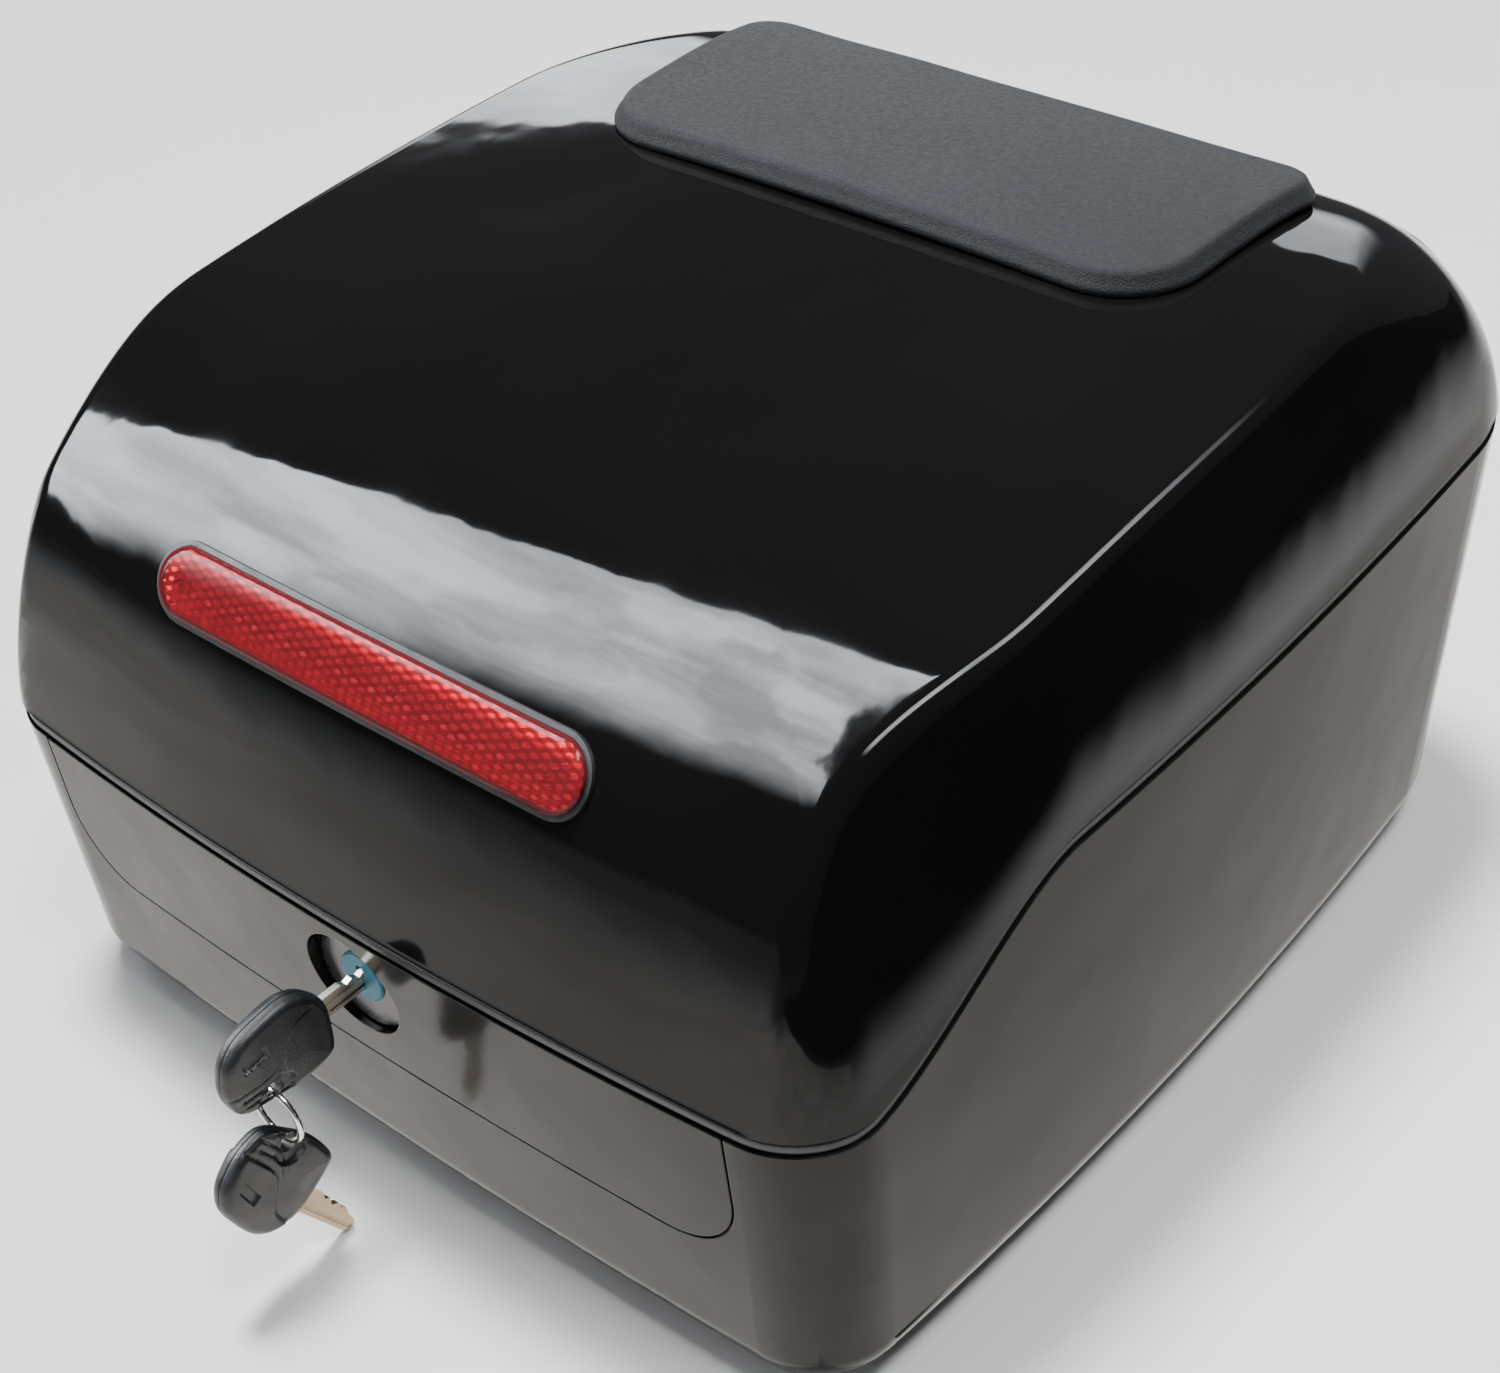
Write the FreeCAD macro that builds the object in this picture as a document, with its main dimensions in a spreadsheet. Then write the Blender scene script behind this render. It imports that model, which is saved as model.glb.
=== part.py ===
import FreeCAD, Part
import math
import os
import re
import Sketcher
from FreeCAD import Placement, Rotation, Vector

# Motorcycle top case: a hollow body and a hinged, domed lid with a backrest pad, a red reflector,
# a push-button lock with its key, and a spare key on the ring.
# Millimetres, +Z up, the lock side faces -Y. Every sub-part is drawn with z = 0 on the underside of
# the body's floor and then lifted by the runners' height, so the row's origin is the centre of the
# four mounting slots, in the plane that rests on the rack.

doc = FreeCAD.newDocument("TopCase")
sheet = doc.addObject("Spreadsheet::Sheet", "Sizes")

SIZES = (
    ("wall", 3.0, "thickness of the moulded shells"),
    ("runner_height", 5.0, "height of the two runners under the floor"),
    # plan of the body at its floor, and at the top plane of its walls
    ("top_plane", 150.0, "height at which the upper plan of the walls is given"),
    ("base_half_width", 154.8, "corner line to corner line, half"),
    ("base_front", -175.7, "front corner line"),
    ("base_back", 163.8, "back corner line"),
    ("base_front_bow", 3.4, "how far the front wall bulges"),
    ("base_front_round", 27.0, "front corner radius"),
    ("base_back_round", 51.0, "back corner radius"),
    ("top_half_width", 160.1, "corner line to corner line, half"),
    ("top_front", -182.25, "front corner line"),
    ("top_back", 180.6, "back corner line"),
    ("top_front_bow", 11.0, "how far the front wall bulges"),
    ("top_front_round", 29.5, "front corner radius"),
    ("top_back_round", 57.0, "back corner radius"),
    ("side_bow", 8.3, "how far each side wall bulges"),
    ("back_bow", 5.1, "how far the back wall bulges"),
    ("base_edge_round", 14.0, "rounding between walls and floor"),
    # the parting line dips at the front in one smooth S
    ("seam_low", 104.2, "height of the parting line at the front"),
    ("seam_high", 146.5, "height of the parting line at the sides and back"),
    ("seam_dip_start", -168.6, "where the S starts"),
    ("seam_dip_end", -82.3, "where the S ends"),
    ("seam_gap", 4.6, "height between the body's rim and the lid's rim"),
    ("rim_width", 6.0, "thickness of both rims"),
    ("rim_depth", 7.0, "height of both rims"),
    ("seal_inset", 1.1, "how far the seal lies inside the outer face"),
    ("seal_width", 4.4, "width of the seal"),
    ("seal_height", 4.3, "height of the seal"),
    # lid
    ("front_bow", 8.7, "bulge of the lid's front"),
    ("crown", 2.5, "rise of the lid's top across its width"),
    ("lean", 17.0, "how far the lid's sides lean in over lean_height"),
    ("lean_height", 62.0, "height over which the sides lean in by lean"),
    ("lean_eased", 21.0, "inset where the lean starts to taper off"),
    ("shoulder", 14.0, "extra rounding of the lid's back corners"),
    # lock
    ("lock_height", 78.0, "height of the lock's axis"),
    ("panel_half_width", 130.4, "lock panel"),
    ("panel_bottom", 50.0, "lower edge of the lock panel"),
    ("panel_round", 24.0, "lower corner radius of the lock panel"),
    ("panel_thickness", 2.4, "lock panel"),
    ("panel_gap", 0.8, "groove round the lock panel"),
    ("recess_radius", 17.4, "round opening for the push button"),
    ("cup_radius", 19.0, "outer radius of the lock housing's front"),
    ("button_radius", 17.0, "push button"),
    ("button_travel", 3.5, "stroke of the push button"),
    ("stem_radius", 10.5, "push button's stem"),
    ("cylinder_radius", 8.1, "lock cylinder"),
    ("running_gap", 0.05, "radial clearance of a running fit"),
    # hinges
    ("hinge_y", 191.5, "hinge axis"),
    ("hinge_z", 144.2, "hinge axis"),
    ("hinge_x", 70.0, "middle of each hinge"),
    ("hinge_width", 36.0, "length of each hinge"),
    ("hinge_face", 187.0, "flat faces that the leaves are screwed to"),
    ("leaf_thickness", 2.0, "hinge leaves"),
    ("leaf_height", 23.5, "hinge leaves, from the axis"),
    ("knuckle_radius", 3.5, "hinge knuckles"),
    ("knuckle_length", 9.0, "outer knuckles"),
    ("knuckle_gap", 0.4, "between neighbouring knuckles"),
    ("pin_radius", 1.5, "hinge pins"),
    # pad
    ("pad_front", 37.0, "front edge of the pad"),
    ("pad_back", 133.0, "back edge of the pad"),
    ("pad_front_half", 106.5, "half width of the pad at its front edge"),
    ("pad_back_half", 108.0, "half width of the pad at its back edge"),
    ("pad_round", 27.0, "front corner radius of the pad"),
    ("pad_back_round", 15.0, "back corner radius of the pad"),
    ("pad_thickness", 7.0, "pad"),
    ("plate_thickness", 2.4, "backing plate inside the pad"),
    # reflector
    ("reflector_half_length", 79.6, "reflector"),
    ("reflector_half_width", 11.6, "reflector"),
    ("reflector_y", -164.4, "reflector's centre"),
    ("reflector_z", 171.2, "reflector's centre"),
    ("reflector_tilt", 33.0, "upward tilt of the reflector, degrees"),
    # mounting slots
    ("slot_spacing", 120.0, "between slot centres, both ways"),
    ("slot_length", 20.0, "end to end"),
    ("slot_radius", 3.3, "half the slot's width, for M6"),
    # keys
    ("blade_thickness", 2.0, "key blades"),
    ("blade_width", 7.5, "key blades"),
    ("blade_length", 27.0, "from the head to the tip"),
    ("head_thickness", 9.0, "key heads"),
    ("key_ring_radius", 9.0, "middle of the key ring's wire"),
    ("key_ring_wire", 0.9, "radius of the key ring's wire"),
)
for row, (alias, size, meaning) in enumerate(SIZES, start=1):
    sheet.set(f"A{row}", alias)
    sheet.set(f"B{row}", str(size))
    sheet.set(f"C{row}", meaning)
    sheet.setAlias(f"B{row}", alias)
doc.recompute()

D = {alias: getattr(sheet, alias) for alias, _, _ in SIZES}
LIFT = Vector(0, 0, D["runner_height"])
NODES = []


# ---------------------------------------------------------------- helpers for the document

def bound(expression):
    """The expression with every alias read from the sheet."""
    return re.sub(r"[a-z][a-z_]+", lambda word: "Sizes." + word.group(0), expression)


def number(expression):
    result = sheet.evalExpression(bound(str(expression)))
    return float(getattr(result, "Value", result))


def bind(thing, prop, expression):
    thing.setExpression(prop, bound(str(expression)))


def node(thing, label, placement=None):
    """Label a finished sub-part, lift it onto the runners and list it for export."""
    thing.Label = label
    thing.Placement = Placement(LIFT, Rotation()).multiply(placement or Placement())
    NODES.append(thing)
    return thing


def feature(label, shape):
    """A sub-part whose shape comes from Part's own functions."""
    thing = doc.addObject("Part::Feature", label)
    thing.Shape = shape
    return node(thing, label, thing.Placement)


def new_body(name):
    return doc.addObject("PartDesign::Body", name)


def new_sketch(body, name, plane, offset="0"):
    """A sketch on one of the body's origin planes, moved along the plane's normal."""
    sketch = body.newObject("Sketcher::SketchObject", name)
    support = [item for item in body.Origin.OriginFeatures if item.Role == plane][0]
    sketch.AttachmentSupport = [(support, "")]
    sketch.MapMode = "FlatFace"
    sketch.AttachmentOffset = Placement(Vector(0, 0, number(offset)), Rotation())
    if offset != "0":
        bind(sketch, "AttachmentOffset.Base.z", offset)
    return sketch


def fix_point(sketch, geometry, end, x, y):
    """Tie one end of a line or a circle's centre to the sketch's origin."""
    for kind, expression in (("DistanceX", x), ("DistanceY", y)):
        index = sketch.addConstraint(
            Sketcher.Constraint(kind, -1, 1, geometry, end, number(expression)))
        bind(sketch, f"Constraints[{index}]", expression)


def draw_polygon(sketch, corners):
    """A closed polygon; each corner is a pair of expressions."""
    points = [Vector(number(x), number(y), 0) for x, y in corners]
    first = sketch.GeometryCount
    count = len(points)
    for i in range(count):
        sketch.addGeometry(Part.LineSegment(points[i], points[(i + 1) % count]), False)
    for i in range(count):
        following = first + (i + 1) % count
        sketch.addConstraint(Sketcher.Constraint("Coincident", first + i, 2, following, 1))
    for i, (x, y) in enumerate(corners):
        fix_point(sketch, first + i, 1, x, y)


def draw_circle(sketch, x, y, radius):
    centre = Vector(number(x), number(y), 0)
    index = sketch.addGeometry(Part.Circle(centre, Vector(0, 0, 1), number(radius)), False)
    fix_point(sketch, index, 3, x, y)
    size = sketch.addConstraint(Sketcher.Constraint("Radius", index, number(radius)))
    bind(sketch, f"Constraints[{size}]", radius)


def draw_rectangle(sketch, x_low, x_high, y_low, y_high):
    draw_polygon(sketch, ((x_low, y_low), (x_high, y_low), (x_high, y_high), (x_low, y_high)))


def add_pad(body, sketch, length, both_ways=False, backwards=False):
    pad = body.newObject("PartDesign::Pad", "Pad")
    pad.Profile = sketch
    pad.Length = number(length)
    bind(pad, "Length", length)
    pad.SideType = "Symmetric" if both_ways else "One side"
    pad.Reversed = backwards
    return pad


def add_pocket(body, sketch, length=None, both_ways=False, backwards=False):
    """A cut of the given depth, or right through."""
    doc.recompute()
    before = body.Shape.Volume
    pocket = body.newObject("PartDesign::Pocket", "Pocket")
    pocket.Profile = sketch
    if length is None:
        pocket.Type = "ThroughAll"
    else:
        pocket.Length = number(length)
        bind(pocket, "Length", length)
    pocket.SideType = "Symmetric" if both_ways else "One side"
    pocket.Reversed = backwards
    doc.recompute()
    if not body.Shape.Volume < before - 0.01:
        raise RuntimeError(f"{body.Name}: the pocket {pocket.Name} cuts nothing")
    return pocket


def add_revolution(body, sketch, axis):
    turn = body.newObject("PartDesign::Revolution", "Revolution")
    turn.Profile = sketch
    turn.ReferenceAxis = (sketch, [axis])
    turn.Angle = 360.0
    return turn


def turned_body(name, profile, offset_x="0"):
    """A body of revolution about the lock's axis: profile is (y, radius) pairs of expressions."""
    body = new_body(name)
    sketch = new_sketch(body, name + "_profile", "YZ_Plane", offset_x)
    draw_polygon(sketch, profile)
    add_revolution(body, sketch, "H_Axis")
    doc.recompute()
    return body


def lock_placement():
    return Placement(Vector(0, 0, D["lock_height"]), Rotation())


# ---------------------------------------------------------------- outlines and surfaces of the shells

def smooth(fraction):
    t = min(max(fraction, 0.0), 1.0)
    return t * t * (3 - 2 * t)


def between(low, high, fraction):
    return low + (high - low) * fraction


def circle_meeting(first, first_radius, second, second_radius, near):
    """The point common to two circles that is nearest to the given point."""
    gap = second - first
    distance = gap.Length
    along = (first_radius ** 2 - second_radius ** 2 + distance ** 2) / (2 * distance)
    across = math.sqrt(first_radius ** 2 - along ** 2)
    direction = gap / distance
    side = Vector(-direction.y, direction.x, 0)
    foot = first + direction * along
    return min((foot + side * across, foot - side * across), key=near.distanceToPoint)


def outline_arcs(level, inset):
    """The plan at a height, as eight tangent arcs: (centre, radius, first angle, last angle)."""
    part = level / D["top_plane"]
    half = between(D["base_half_width"], D["top_half_width"], part)
    front = between(D["base_front"], D["top_front"], part)
    back = between(D["base_back"], D["top_back"], part)
    front_bow = between(D["base_front_bow"], D["top_front_bow"], part)
    front_round = between(D["base_front_round"], D["top_front_round"], part)
    back_round = between(D["base_back_round"], D["top_back_round"], part)
    half_depth = (back - front) / 2
    middle = (back + front) / 2
    front_radius = (half ** 2 + front_bow ** 2) / (2 * front_bow)
    side_radius = (half_depth ** 2 + D["side_bow"] ** 2) / (2 * D["side_bow"])
    back_radius = (half ** 2 + D["back_bow"] ** 2) / (2 * D["back_bow"])
    sides = (
        (Vector(0, front - front_bow + front_radius, 0), front_radius),
        (Vector(half + D["side_bow"] - side_radius, middle, 0), side_radius),
        (Vector(0, back + D["back_bow"] - back_radius, 0), back_radius),
        (Vector(side_radius - half - D["side_bow"], middle, 0), side_radius),
    )
    corners = (
        (Vector(half, front, 0), front_round),
        (Vector(half, back, 0), back_round),
        (Vector(-half, back, 0), back_round),
        (Vector(-half, front, 0), front_round),
    )
    centres = []
    for i, (corner, radius) in enumerate(corners):
        (one, one_radius), (two, two_radius) = sides[i], sides[(i + 1) % 4]
        centres.append(circle_meeting(one, one_radius - radius, two, two_radius - radius, corner))
    arcs = []
    for i in range(4):
        centre, radius = sides[i]
        start = math.atan2(centres[i - 1].y - centre.y, centres[i - 1].x - centre.x)
        stop = math.atan2(centres[i].y - centre.y, centres[i].x - centre.x)
        following = sides[(i + 1) % 4][0]
        turn = math.atan2(centres[i].y - following.y, centres[i].x - following.x)
        stop += 2 * math.pi if stop < start else 0
        turn += 2 * math.pi if turn < stop - math.pi / 2 else 0
        arcs.append((centre, radius - inset, start, stop))
        arcs.append((centres[i], corners[i][1] - inset, stop, turn))
    return arcs


def outline_wire(level, inset):
    edges = []
    for centre, radius, start, stop in outline_arcs(level, inset):
        points = []
        for angle in (start, (start + stop) / 2, stop):
            offset = Vector(math.cos(angle), math.sin(angle), 0) * radius
            points.append(centre + offset + Vector(0, 0, level))
        edges.append(Part.Arc(*points).toShape())
    return Part.Wire(edges)


def walls(low, inset):
    """The solid inside the drafted walls, from a height up to the top plane."""
    wires = [outline_wire(low, inset), outline_wire(D["top_plane"], inset)]
    return Part.makeLoft(wires, True, True)


def round_lower_edge(solid, level, radius):
    edges = [edge for edge in solid.Edges if edge.BoundBox.ZMax < level + 0.01]
    return solid.makeFillet(radius, edges)


def seam_height(y):
    run = D["seam_dip_end"] - D["seam_dip_start"]
    part = smooth((y - D["seam_dip_start"]) / run)
    return between(D["seam_low"], D["seam_high"], part)


def seam_edges(shift, reach=260.0):
    """The parting line in the YZ plane, raised by shift, from front to back."""
    start, stop = D["seam_dip_start"], D["seam_dip_end"]
    low, high = D["seam_low"] + shift, D["seam_high"] + shift
    third = (stop - start) / 3
    dip = Part.BezierCurve()
    dip.setPoles([Vector(0, start, low), Vector(0, start + third, low),
                  Vector(0, stop - third, high), Vector(0, stop, high)])
    return [
        Part.LineSegment(Vector(0, -reach, low), Vector(0, start, low)).toShape(),
        dip.toShape(),
        Part.LineSegment(Vector(0, stop, high), Vector(0, reach, high)).toShape(),
    ]


def seam_slab(bottom, top, reach=260.0):
    """All space between the parting surface raised by bottom and by top."""
    lower, upper = seam_edges(bottom), seam_edges(top)
    ends = []
    for y, level in ((-reach, D["seam_low"]), (reach, D["seam_high"])):
        line = Part.LineSegment(Vector(0, y, level + bottom), Vector(0, y, level + top))
        ends.append(line.toShape())
    wire = Part.Wire(Part.sortEdges(lower + upper + ends)[0])
    slab = Part.Face(wire).extrude(Vector(2 * reach, 0, 0))
    slab.translate(Vector(-reach, 0, 0))
    return slab


# the lid's middle section, from below the front seam over the top to below the back seam
MIDDLE_SECTION = (
    (-192.6, 90.0), (-188.5, 104.2), (-182.4, 128.0), (-174.8, 150.0), (-165.2, 170.0),
    (-152.0, 184.5), (-135.0, 195.0), (-112.0, 202.3), (-80.0, 206.3), (-40.0, 209.3),
    (0.0, 211.3), (45.0, 212.8), (90.0, 213.0), (125.0, 209.5), (150.0, 200.5),
    (168.0, 186.0), (179.0, 168.0), (184.9, 146.5), (188.0, 120.0),
)
SECTION_REACH = 175.0


def crown_surface(offset):
    """The lid's top: its middle section carried across the width in shallow parabolas."""
    middle = Part.BSplineCurve()
    middle.interpolate(Points=[Vector(0, y, z) for y, z in MIDDLE_SECTION])
    knots = middle.getKnots()
    share = (SECTION_REACH / 160.0) ** 2
    edge_points, control_points = [], []
    for knot, (y, z) in zip(knots, MIDDLE_SECTION):
        tangent = middle.tangent(knot)[0]
        point = Vector(0, y, z) + Vector(0, -tangent.z, tangent.y) * offset
        back_part = min(max((y + 190.0) / 375.0, 0.0), 1.0)
        bow = D["front_bow"] * (1 - back_part) ** 1.5 - D["back_bow"] * back_part ** 3
        drop = D["crown"] * min(max((z - 150.0) / 50.0, 0.0), 1.0)
        shift = Vector(0, bow, -drop) * share
        edge_points.append(point + shift)
        control_points.append(point - shift)
    rows = []
    for points in (edge_points, control_points):
        curve = Part.BSplineCurve()
        curve.interpolate(Points=points, Parameters=knots)
        rows.append(curve)
    side = Vector(SECTION_REACH, 0, 0)
    poles = [
        [pole - side for pole in rows[0].getPoles()],
        rows[1].getPoles(),
        [pole + side for pole in rows[0].getPoles()],
    ]
    surface = Part.BSplineSurface()
    surface.buildFromPolesMultsKnots(
        poles, [3, 3], rows[0].getMultiplicities(), [0.0, 1.0], rows[0].getKnots(),
        False, False, 2, 3)
    return surface


def under_crown(offset):
    """All space under the lid's top surface moved out by offset."""
    return crown_surface(offset).toShape().extrude(Vector(0, 0, -300))


def under_crown_patches(offset):
    """The same space with its top in twelve smaller faces, for the large shell."""
    surface = crown_surface(offset)
    knots = surface.getVKnots()
    cuts_u = (0.0, 0.33, 0.67, 1.0)
    cuts_v = (knots[0], knots[4], knots[8], knots[13], knots[-1])
    prisms = []
    for left, right in zip(cuts_u, cuts_u[1:]):
        for near, far in zip(cuts_v, cuts_v[1:]):
            patch = surface.toShape(left, right, near, far)
            prisms.append(patch.extrude(Vector(0, 0, -300)))
    return prisms[0].fuse(prisms[1:])


def crown_height(x, y, offset=0.0):
    line = Part.makeLine(Vector(x, y, 150), Vector(x, y, 260))
    _, meetings, _ = line.distToShape(crown_surface(offset).toShape())
    return meetings[0][0].z


def seam_plan(samples):
    """Points round the parting line, with outward normals."""
    lower, upper = outline_arcs(0.0, 0.0), outline_arcs(D["top_plane"], 0.0)
    found = []
    for low, high in zip(lower, upper):
        for k in range(samples):
            pair = []
            for centre, radius, start, stop in (low, high):
                angle = between(start, stop, k / samples)
                way = Vector(math.cos(angle), math.sin(angle), 0)
                pair.append((centre + way * radius, way))
            level = 125.0
            for _ in range(3):
                point = between(pair[0][0], pair[1][0], level / D["top_plane"])
                level = seam_height(point.y)
            normal = (pair[0][1] + pair[1][1]).normalize()
            found.append((Vector(point.x, point.y, level), normal))
    return found


def lid_inset(height, y, inset):
    """How far the lid's side lies inside the parting line's plan, at a height above that line."""
    inward = D["lean"] * (max(height, 0.0) / D["lean_height"]) ** 1.35 + inset
    eased = D["lean_eased"]
    if inward > eased:
        inward = eased + 7.0 * (1 - math.exp((eased - inward) / 7.0))
    back_part = smooth((y - 60.0) / 110.0)
    return inward + D["shoulder"] * back_part * smooth((height - 15.0) / 50.0)


def shoulder_ring(level, inset):
    """One flat, closed ring of the lid's side surface."""
    points = []
    for point, normal in seam_plan(8):
        inward = point - normal * lid_inset(level - point.z, point.y, inset)
        points.append(Vector(inward.x, inward.y, level))
    ring = Part.BSplineCurve()
    ring.interpolate(Points=points, PeriodicFlag=True)
    return Part.Wire(ring.toShape())


def shoulders(inset):
    """All space inside the lid's side surface."""
    rings = [shoulder_ring(level, inset) for level in range(85, 236, 10)]
    return Part.makeLoft(rings, True, False)


def block(x_low, x_high, y_low, y_high, z_low, z_high):
    size = (x_high - x_low, y_high - y_low, z_high - z_low)
    return Part.makeBox(*size, Vector(x_low, y_low, z_low))


def hole_along_y(x, z, radius, y_low, y_high):
    return Part.makeCylinder(radius, y_high - y_low, Vector(x, y_low, z), Vector(0, 1, 0))


def panel_prism(grow):
    """The lock panel's outline, carried through the front wall."""
    half = D["panel_half_width"] + grow
    prism = block(-half, half, -200, -160, D["panel_bottom"] - grow, 130)
    corners = [edge for edge in prism.Edges
               if edge.BoundBox.XLength < 0.01 and edge.BoundBox.ZLength < 0.01
               and edge.BoundBox.ZMax < D["panel_bottom"] + 1]
    return prism.makeFillet(D["panel_round"] + grow, corners)


HINGE_SIDES = (("left", -1), ("right", 1))
SCREW_COLUMNS = (-11.0, 11.0)
SCREW_ROWS = (8.5, 18.5)
SCREW_RADIUS = 1.45
SCREW_HOLE = 1.6


def hinge_screw_places(upper):
    """Centres (x, z) of the screws in the lid's leaves, or in the body's."""
    way = 1 if upper else -1
    return [
        (side * D["hinge_x"] + column, D["hinge_z"] + way * row)
        for _, side in HINGE_SIDES for column in SCREW_COLUMNS for row in SCREW_ROWS
    ]


# ---------------------------------------------------------------- body

LOCK_BOSS_FACE = -178.0
EAR_SCREW_X = 25.5
BRACKET_SCREWS = ((-15.0, 46.0), (15.0, 46.0))
BRACKET_SCREW_HOLE = 1.6


def make_body_shell():
    outer = round_lower_edge(walls(0.0, 0.0), 0.0, D["base_edge_round"])
    cavity = round_lower_edge(
        walls(D["wall"], D["wall"]), D["wall"], D["base_edge_round"] - D["wall"])
    shell = outer.cut(cavity)
    gap = D["seam_gap"]
    rim_zone = seam_slab(-gap - D["rim_depth"], -gap)
    rim = outer.cut(walls(20.0, D["rim_width"])).common(rim_zone)
    backing = outer.cut(walls(20.0, D["panel_thickness"] + 4.1)).common(panel_prism(5.0))
    lock_boss = outer.common(block(-33, 33, -200, LOCK_BOSS_FACE, 36, 100))
    hinge_bosses = []
    for _, side in HINGE_SIDES:
        middle = side * D["hinge_x"]
        boss = block(middle - 20, middle + 20, 168, D["hinge_face"], 117, 141)
        hinge_bosses.append(boss.cut(walls(20.0, D["wall"])))
    shell = shell.fuse([rim, backing, lock_boss] + hinge_bosses)
    for side in (-1, 1):
        x = side * D["slot_spacing"] / 2
        runner = block(x - 15, x + 15, -90, 90, -D["runner_height"], 1)
        upright = [edge for edge in runner.Edges if edge.BoundBox.ZLength > 1]
        shell = shell.fuse(runner.makeFillet(10, upright))
    pocket = outer.cut(walls(0.0, D["panel_thickness"] + 0.2)).common(panel_prism(D["panel_gap"]))
    cuts = [
        pocket,
        hole_along_y(0, D["lock_height"], D["cup_radius"] + 0.2, -200, -160),
        block(-33, 33, LOCK_BOSS_FACE, -165, 36, 100),
    ]
    for x, z in ((-EAR_SCREW_X, D["lock_height"]), (EAR_SCREW_X, D["lock_height"])):
        cuts.append(hole_along_y(x, z, SCREW_HOLE, LOCK_BOSS_FACE - 4, -160))
    for x, z in BRACKET_SCREWS:
        cuts.append(hole_along_y(x, z, BRACKET_SCREW_HOLE, LOCK_BOSS_FACE - 4, -160))
    for x, z in hinge_screw_places(False):
        cuts.append(hole_along_y(x, z, SCREW_HOLE, 160, 195))
    half = D["slot_spacing"] / 2
    straight = D["slot_length"] / 2 - D["slot_radius"]
    for x in (-half, half):
        for y in (-half, half):
            bar = block(x - straight, x + straight, y - D["slot_radius"], y + D["slot_radius"],
                        -10, 10)
            cuts.append(bar)
            for end in (-straight, straight):
                cuts.append(Part.makeCylinder(D["slot_radius"], 20, Vector(x + end, y, -10)))
    shell = shell.common(seam_slab(-200, -gap)).cut(cuts)
    return feature("body_shell", shell.removeSplitter())


def make_lock_panel():
    skin = walls(0.0, 0.0).cut(walls(0.0, D["panel_thickness"]))
    panel = skin.common(panel_prism(0.0)).common(seam_slab(-200, -D["seam_gap"] - 0.3))
    panel = panel.cut(hole_along_y(0, D["lock_height"], D["recess_radius"], -200, -160))
    return feature("lock_panel", panel)


def make_rim_seal():
    inner = D["seal_inset"] + D["seal_width"]
    ring = walls(40.0, D["seal_inset"]).cut(walls(40.0, inner))
    bottom = -D["seam_gap"]
    return feature("rim_seal", ring.common(seam_slab(bottom, bottom + D["seal_height"])))


# ---------------------------------------------------------------- lid

STRIKER_FACE = -171.0
STRIKER_SCREWS = ((-8.0, 119.0), (8.0, 119.0))
PAD_SCREWS = ((-70.0, 58.0), (70.0, 58.0), (-70.0, 112.0), (70.0, 112.0))
PAD_SCREW_HOLE = 2.6


def tilted(shape):
    """Turn a shape drawn flat in XY, centred on the origin, onto the reflector's place."""
    shape.rotate(Vector(), Vector(1, 0, 0), 90 - D["reflector_tilt"])
    shape.translate(Vector(0, D["reflector_y"], D["reflector_z"]))
    return shape


def pill(shrink):
    """The reflector's outline, as a prism square to the lid's front slope."""
    length = D["reflector_half_length"] - shrink
    width = D["reflector_half_width"] - shrink
    straight = length - width
    prism = Part.makeBox(2 * straight, 2 * width, 40, Vector(-straight, -width, -20))
    ends = [Part.makeCylinder(width, 40, Vector(x, 0, -20)) for x in (-straight, straight)]
    return tilted(prism.fuse(ends))


def make_lid_shell():
    outer = shoulders(0.0).common(under_crown_patches(0.0)).common(seam_slab(0, 150))
    inside_top = under_crown_patches(-D["wall"])
    inner = shoulders(D["wall"]).common(inside_top).common(seam_slab(-10, 150))
    shell = outer.cut(inner)
    rim = outer.common(seam_slab(0, D["rim_depth"])).cut(shoulders(D["rim_width"]))
    striker_boss = outer.common(block(-16, 16, -200, STRIKER_FACE, 111, 131))
    hinge_bosses = []
    inside = inner.common(block(-200, 200, 0, 200, 100, 250))
    for _, side in HINGE_SIDES:
        middle = side * D["hinge_x"]
        low = D["seam_high"]
        boss = block(middle - 20, middle + 20, 168, D["hinge_face"], low + 0.6, low + 22)
        hinge_bosses.append(boss.cut(inside))
    shell = shell.fuse([rim, striker_boss] + hinge_bosses)
    recess = pill(-0.4).common(under_crown(5.0)).cut(under_crown(-1.2))
    shell = shell.cut(recess)
    for x, y in PAD_SCREWS:
        shell = shell.cut(Part.makeCylinder(PAD_SCREW_HOLE, 60, Vector(x, y, 180)))
    for x, z in hinge_screw_places(True):
        shell = shell.cut(hole_along_y(x, z, SCREW_HOLE, 160, 195))
    for x, z in STRIKER_SCREWS:
        shell = shell.cut(hole_along_y(x, z, SCREW_HOLE, STRIKER_FACE - 8, -150))
    return feature("lid_shell", shell)


def make_reflector():
    tray = pill(0.0).common(under_crown(1.2)).cut(under_crown(-1.1))
    tray = tray.cut(pill(1.4).common(under_crown(5.0)).cut(under_crown(-0.3)))
    feature("reflector_base", tray)
    lens = pill(1.5).common(under_crown(3.2)).cut(under_crown(-0.2))
    feature("reflector_lens", lens)


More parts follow.
